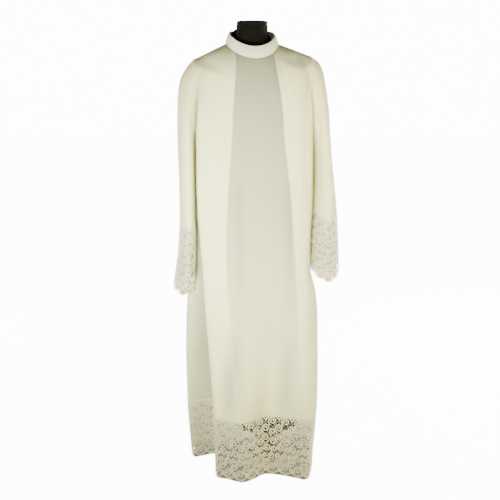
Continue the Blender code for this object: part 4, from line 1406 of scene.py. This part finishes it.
def jersey_roll():
    """Points of a soft roll round the neck, higher on the left and behind."""
    grid = np.zeros((ROLL_ROWS, ROLL_COLUMNS, 3))
    for column in range(ROLL_COLUMNS):
        angle = 2 * math.pi * column / ROLL_COLUMNS
        out = np.array((math.sin(angle), -math.cos(angle), 0.0))
        middle = np.array((0.0, NECK_Y, 0.0)) + out * 0.0600
        middle[2] = (1.4600 - 0.0275 * math.cos(angle) - 0.0085 * math.sin(angle)
                     + 0.0016 * math.sin(3 * angle + 1.1) + 0.0010 * math.sin(7 * angle))
        plump = 1.0 + 0.05 * math.sin(5 * angle + 0.4)
        for row in range(ROLL_ROWS):
            turn = -2 * math.pi * row / ROLL_ROWS
            grid[row, column] = (middle + out * ROLL_WIDE * plump * math.cos(turn)
                                 + np.array((0, 0, 1)) * ROLL_HIGH * math.sin(turn))
    return grid


roll = loop_from_grid("jersey_roll", jersey_roll(), jersey.material)
only_selected(form)
roll.select_set(True)
bpy.ops.object.join()
form.data.shade_smooth()
only_selected(form)
bpy.ops.object.shade_smooth_by_angle(angle=math.radians(40))
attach(form, "root")
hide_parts("form_body")
print("form with its fold:", len(form.data.polygons), "faces")

# %% [markdown]
# ## The turned base
#
# A wood turner cuts a profile while the block spins. The same is done here: half of the
# section is drawn as a line of points and spun once round its axis, then its doubles
# are merged and its normals turned outwards.

# %% Spin the base
STAND = (0.060, 0.015)
BASE_PROFILE = (
    (.0000, .1137), (.0470, .1137), (.0505, .1129), (.0525, .1108), (.0530, .1080),
    (.0505, .1010), (.0470, .0850), (.0456, .0705), (.0462, .0560), (.0477, .0432),
    (.0530, .0330), (.0610, .0260), (.0690, .0212), (.0742, .0180), (.0900, .0180),
    (.0970, .0180), (.1020, .0164), (.1046, .0130), (.1050, .0100), (.1050, .0030),
    (.1040, .0008), (.1020, .0000), (.0000, .0000),
)


def turned(name, profile, middle, steps):
    """A profile of radii and heights, spun round an upright axis."""
    mesh = bpy.data.meshes.new(name)
    mesh.from_pydata([(middle[0] + radius, middle[1], height) for radius, height in profile],
                     [(n, n + 1) for n in range(len(profile) - 1)], [])
    thing = bpy.data.objects.new(name, mesh)
    bpy.context.scene.collection.objects.link(thing)
    only_selected(thing)
    bpy.ops.object.mode_set(mode="EDIT")
    bpy.ops.mesh.select_all(action="SELECT")
    bpy.ops.mesh.spin(steps=steps, angle=2 * math.pi, center=(*middle, 0.0), axis=(0, 0, 1))
    bpy.ops.mesh.select_all(action="SELECT")
    bpy.ops.mesh.remove_doubles(threshold=0.00005)
    bpy.ops.mesh.normals_make_consistent(inside=False)
    bpy.ops.object.mode_set(mode="OBJECT")
    bpy.ops.object.shade_smooth_by_angle(angle=math.radians(50))
    return thing


base = turned("base_turned", BASE_PROFILE, STAND, 96)
base.data.materials.append(wood.material)
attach(base, "root")
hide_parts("base")
print("base:", len(base.data.polygons), "faces")

# %% [markdown]
# ## Seams and stitches
#
# Where two panels are sewn together the cloth stands up in a thin round welt. Rows of
# short stitches show at the foot and the top of the collar and where the lace is sewn
# on. All the stitches of a row are copies of one small rounded bar.

# %% Seam welts
def world_cord(path, radius, sides=6):
    """Points and faces of a round cord along a path of points."""
    path = np.asarray(path)
    along = unit(np.gradient(path, axis=0))
    side = unit(np.cross(along, np.array((0.31, 0.22, 0.92))))
    lift = np.cross(along, side)
    turn = np.arange(sides) * 2 * math.pi / sides
    rings = path[:, None] + radius * (side[:, None] * np.cos(turn)[:, None]
                                      + lift[:, None] * np.sin(turn)[:, None])
    return rings.reshape(-1, 3), tube_faces(0, len(path), sides)


def merged(name, parts):
    """One object of sewing thread or piping out of several lots of points and faces."""
    points, faces = [], []
    for some, some_faces in parts:
        faces += [tuple(corner + len(points) for corner in face) for face in some_faces]
        points += list(some)
    thing = new_object(name, points, faces, ivory.material)
    give_uv(thing, "cloth", np.array(points)[:, [0, 2]])
    give_values(thing, "painted_shade")
    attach(thing, "root")
    return thing


ARMHOLE_WELT, SEAM_WELT = 0.0011, 0.00088
welts = []
for side, line in ((-1, "left_seam"), (1, "right_seam")):
    seam = np.array([float(LINE[line])])
    welts.append(world_cord(sleeve_rings(side, np.linspace(0, 2 * math.pi, 120))[0],
                            ARMHOLE_WELT))
    welts.append(world_cord([robe(seam, down, FRONT)[0]
                             for down in np.linspace(1.0, 2.0, 120)], SEAM_WELT))
    welts.append(world_cord([robe(seam - side * share, 0.001, FRONT)[0]
                             for share in np.linspace(0.02, 0.98, 40)], SEAM_WELT))
seam_welts = merged("seam_welts", welts)
print("seams:", len(seam_welts.data.polygons), "faces")

# %% A row of stitches
STITCH, STITCH_GAP, STITCH_RADIUS, STITCH_SIDES = 0.0026, 0.0014, 0.00035, 5
# How far a stitch's middle stands out, and how far its row lies from the lace.
STITCH_OUT, STITCH_UP = 0.0005, 0.0028


def stitches(path, outwards):
    """Short rounded bars in a row along a path, set out from the cloth."""
    path, outwards, run = np.asarray(path), np.asarray(outwards), run_along(path)
    parts = []
    for start in np.arange(0.001, run[-1] - STITCH, STITCH + STITCH_GAP):
        places = start + STITCH * np.array((0.0, 0.15, 0.85, 1.0))
        spots = np.column_stack([np.interp(places, run, path[:, axis]) for axis in range(3)])
        out = np.array([np.interp(places[1], run, outwards[:, axis]) for axis in range(3)])
        spots += out * np.array((-0.0003, 0.0001, 0.0001, -0.0003))[:, None]
        parts.append(world_cord(spots, STITCH_RADIUS, STITCH_SIDES))
    return parts


print("stitches in 10 cm:", len(stitches([(0, 0, 0), (0.1, 0, 0)], [(0, 0, 1), (0, 0, 1)])))

# %% Stitches at the collar, the hem and the cuffs
def collar_row(share):
    """Stitches round the outside of the collar, a share of the way up."""
    path, outwards = [], []
    for angle in np.linspace(0, 2 * math.pi, 240):
        low, high = collar_edge(COLLAR_BASE, angle), collar_edge(COLLAR_TOP, angle)
        out = collar_out(angle)
        path.append(low + (high - low) * share
                    + out * (BAND / 2 + COLLAR_BULGE * 4 * share * (1 - share)))
        outwards.append(out)
    return stitches(path, outwards)


collar_stitches = merged("collar_stitches", collar_row(0.10) + collar_row(0.90))

hem_places = np.linspace(0, len(LINES), 1500)
hem_row = level(hem_places, HEM_SEAM_Z + STITCH_UP)
hem_out = outward(np.clip(hem_places, 0.01, len(LINES) - 0.01),
                  2 - STITCH_UP / (ARMPIT_Z - HEM_SEAM_Z), FRONT)
hem_stitches = merged("hem_stitches", stitches(hem_row + hem_out * STITCH_OUT, hem_out))

cuff_parts = []
for side in (-1, 1):
    rows = sleeve(side, RING["cuff"] + np.array([-0.04, -0.03, -0.02]),
                  side * np.linspace(0, 2 * math.pi, 300))
    out = grid_normals(rows)[1]
    cuff_parts += stitches(rows[1] + out * STITCH_OUT, out)
cuff_stitches = merged("cuff_stitches", cuff_parts)
faces = sum(len(thing.data.polygons) for thing in (collar_stitches, hem_stitches, cuff_stitches))
print("stitches:", faces // (3 * STITCH_SIDES + 2))

# %% [markdown]
# ## Camera, light and floor
#
# The camera stands a little to the left and looks slightly down with a short telephoto
# lens. The lights stand low, so the shoulders turn away from them and stay darker than
# the breast. A neutral light from the left and a yellower one from the right fill the
# folds, one far right reaches the right edge, a narrower one brightens the middle, and
# two behind, one of them well to the side, bring out the folds of the back.

# %% Camera
camera_data = bpy.data.cameras.new("camera")
camera_data.lens, camera_data.sensor_width = 72.0, 36.0
camera = bpy.data.objects.new("camera", camera_data)
camera.location = (-0.473, -3.352, 1.331)
camera.rotation_euler = (math.radians(80.35), 0.0, math.radians(-8.0))
bpy.context.scene.collection.objects.link(camera)
bpy.context.scene.camera = camera
print("camera:", camera_data.lens, "mm lens,", round(-camera.location.y, 2), "m in front")

# %% Lights
# Name, place, the point it faces, size, power, colour and how wide it spreads in degrees.
LIGHTS = (
    ("left", (-1.7, -3.4, 0.10), (0.0, 0.0, 0.80), 1.0, 130.0, (0.97, 0.99, 0.86), 180),
    ("right", (1.8, -3.3, 0.08), (0.0, 0.0, 0.80), 1.0, 82.0, (1.0, 0.93, 0.30), 180),
    ("far right", (3.2, -0.7, 0.35), (0.15, 0.0, 0.50), 1.0, 72.0, (1.0, 0.95, 0.66), 180),
    ("behind right", (3.0, 1.7, 0.90), (0.0, 0.0, 0.80), 1.2, 165.0, (1.0, 0.98, 0.90), 180),
    ("behind left", (-2.6, 2.4, 0.80), (0.0, 0.0, 0.80), 1.5, 85.0, (1.0, 0.98, 0.90), 180),
    ("pool", (-0.7, -2.6, 0.06), (-0.10, 0.0, 0.87), 0.5, 25.5, (0.98, 0.99, 0.84), 40),
)


def area_light(name, place, target, size, energy, color, spread):
    """A square soft light that faces a point."""
    data = bpy.data.lights.new(name, "AREA")
    data.size, data.energy, data.color = size, energy, color
    data.spread = math.radians(spread)
    lamp = bpy.data.objects.new(name, data)
    lamp.location = place
    lamp.rotation_euler = (Vector(target) - Vector(place)).to_track_quat("-Z", "Y").to_euler()
    bpy.context.scene.collection.objects.link(lamp)


for row in LIGHTS:
    area_light(*row)
print(len(LIGHTS), "lights of", sum(row[4] for row in LIGHTS), "watts together")

# %% [markdown]
# The room is white and evenly lit. Its light on the object is gentle, while the camera
# sees the walls and the floor a good deal brighter, as in an overexposed studio.

# %% White surroundings
ROOM_LIGHT, ROOM_SEEN = 0.20, 14.0
BLACK, WHITE, WARM_WHITE = (0.0, 0.0, 0.0, 1.0), (1.0, 1.0, 1.0, 1.0), (1.0, 0.98, 0.90, 1.0)
world = bpy.data.worlds.new("studio")
world.use_nodes = True
nodes, links = world.node_tree.nodes, world.node_tree.links
gentle, bright = nodes["Background"], nodes.new("ShaderNodeBackground")
for background, color, strength in ((gentle, WARM_WHITE, ROOM_LIGHT), (bright, WHITE, ROOM_SEEN)):
    background.inputs["Color"].default_value = color
    background.inputs["Strength"].default_value = strength
seen, either = nodes.new("ShaderNodeLightPath"), nodes.new("ShaderNodeMixShader")
for number, socket in enumerate((seen.outputs["Is Camera Ray"], gentle.outputs[0],
                                 bright.outputs[0])):
    links.new(socket, either.inputs[number])
links.new(either.outputs[0], nodes["World Output"].inputs[0])
bpy.context.scene.world = world
print("the room looks", round(ROOM_SEEN / ROOM_LIGHT), "times as bright as it shines")

# %% Floor
# The floor's colour in the light and in the shade, and how much of its glow is left there.
FLOOR_LIT, FLOOR_SHADED = (0.90, 0.90, 0.89, 1.0), (0.17, 0.155, 0.115, 1.0)
SHADE_GLOW = (0.011, 0.0100, 0.0070, 1.0)
floor_finish = Finish("pale_floor", {"Base Color": FLOOR_LIT, "Roughness": 0.9,
                                     "Specular IOR Level": 0.1,
                                     "Emission Strength": ROOM_SEEN - 1.0})
shade, seen = floor_finish.painted("shade"), floor_finish.node("ShaderNodeLightPath")
glow = floor_finish.mix(seen, BLACK, floor_finish.mix(shade, WHITE, SHADE_GLOW))
floor_finish.drive("Emission Color", glow)
floor_finish.drive("Base Color", floor_finish.mix(shade, FLOOR_LIT, FLOOR_SHADED))
bpy.ops.object.select_all(action="DESELECT")
bpy.ops.mesh.primitive_grid_add(x_subdivisions=2, y_subdivisions=2, size=30.0,
                                location=(0.0, 4.0, cad_low.z))
floor = bpy.context.active_object
floor.name = "floor"
settle(floor)
floor.data.materials.append(floor_finish.material)
print("floor:", tuple(round(side) for side in floor.dimensions[:2]), "m")

# %% Shade on the floor
# Light comes from in front, so the floor inside the hem and just behind it lies in the
# robe's shade. A thin patch carries how deep that shade is, fading at its edges.
PATCH_X, PATCH_Y, PATCH_STEP = (-0.28, 0.46), (-0.25, 1.00), 0.005
PATCH_LIFT = 0.0004
# The hem's height, and the bands of the skirt that are thrown on the floor in turn.
FOOT, CAST_BANDS = 0.006, ((0.006, 0.10), (0.05, 0.16), (0.10, 0.22), (0.16, 0.27))
# The softness of the edge, where behind the robe it starts to grow, and where it fades.
SHADE_SOFT, SHADE_BEHIND, SHADE_FADES = 0.008, 0.10, (0.58, 0.86)


def inside_by(spots, outline):
    """How far spots lie inside a closed outline; below zero outside it."""
    start, run = outline, np.roll(outline, -1, axis=0) - outline
    nearest = np.full(len(spots), 9.0)
    crossed = np.zeros(len(spots), bool)
    for (x, y), (along_x, along_y) in zip(start, run):
        share = ((spots[:, 0] - x) * along_x + (spots[:, 1] - y) * along_y) / (
            along_x ** 2 + along_y ** 2 + 1e-12)
        share = np.clip(share, 0.0, 1.0)
        nearest = np.minimum(nearest, np.hypot(spots[:, 0] - x - share * along_x,
                                               spots[:, 1] - y - share * along_y))
        if along_y:
            over = (y > spots[:, 1]) != (y + along_y > spots[:, 1])
            crossed ^= over & (spots[:, 0] < x + along_x * (spots[:, 1] - y) / along_y)
    return np.where(crossed, nearest, -nearest)


def cast(height):
    """The robe's outline at a height, thrown on the floor as the camera sees it."""
    lens_height = camera.location[2] - cad_low.z
    line = level(np.linspace(0, len(LINES), 220), cad_low.z + height)[:, :2]
    return eye + (line - eye) * lens_height / (lens_height - height)


eye = np.array(camera.location[:2])
print("the hem's shade reaches back to y", cast(FOOT)[:, 1].max().round(3))

# %% The patch of shade
patch_x, patch_y = np.arange(*PATCH_X, PATCH_STEP), np.arange(*PATCH_Y, PATCH_STEP)
grid_x, grid_y = np.meshgrid(patch_x, patch_y)
spots = np.column_stack([grid_x.ravel(), grid_y.ravel()])
inside = inside_by(spots, cast(FOOT)[:-1])
for low_edge, high_edge in CAST_BANDS:
    near, far = cast(low_edge), cast(high_edge)
    bearing = np.unwrap(np.arctan2(*(near - eye).T))
    turns = np.nonzero(np.diff(np.sign(np.diff(bearing))))[0] + 1
    for start, end in zip([0, *turns], [*turns, len(near) - 1]):
        strip = np.concatenate([near[start:end + 1], far[start:end + 1][::-1]])
        inside = np.maximum(inside, inside_by(spots, strip))
back_by = np.clip(spots[:, 1] - SHADE_BEHIND, 0.0, None)
depth = (smooth_step(0.0, 1.0, inside / (SHADE_SOFT * (1 + 6 * back_by)) + 0.5)
         * (1 - smooth_step(*SHADE_FADES, back_by)))
patch = new_object("floor_shade",
                   np.column_stack([spots, np.full(len(spots), cad_low.z + PATCH_LIFT)]),
                   [face[::-1] for face in grid_faces(len(patch_y), len(patch_x))],
                   floor_finish.material)
give_values(patch, "shade", depth)
print("shade:", len(spots), "points,", round((depth > 0.5).sum() * PATCH_STEP ** 2, 3), "m2 deep")

# %% Shade inside the cuffs
# A bright room would shine through an open lace. A dark sheet of painted shade stands inside
# each cuff, cut to the same scallops, so that the cords are seen against shade.
SHEET_INSET, SHEET_SHORT, SHEET_STEP, SHEET_ROWS = 0.006, 2.5, 2.0, 30
# The sheet's colour is painted shade: the dim inside of a cuff.
shade_sheet_finish = Finish("painted_shade_sheet", {"Base Color": (0.50, 0.45, 0.29, 1.0), "Roughness": 1.0,
                                      "Specular IOR Level": 0.0})
for (word, part), (cloth, girth, pitch) in cuff_cloths.items():
    across = np.arange(0.0, girth + 0.1, SHEET_STEP)
    edge = lace_edge(across / pitch * REPEAT, 1000 * CUFF_LACE, SHEET_SHORT)
    shares = np.linspace(0.01, 1.0, SHEET_ROWS)[:, None]
    spots = np.stack([np.broadcast_to(across, (SHEET_ROWS, len(across))), shares * edge], -1)
    points, outwards = cloth.at(spots.reshape(-1, 2))
    new_object(f"shade_sheet_{word}_{part}", points - outwards * SHEET_INSET,
                        grid_faces(SHEET_ROWS, len(across)), shade_sheet_finish.material)
print(len(cuff_cloths), "papers inside the cuffs")
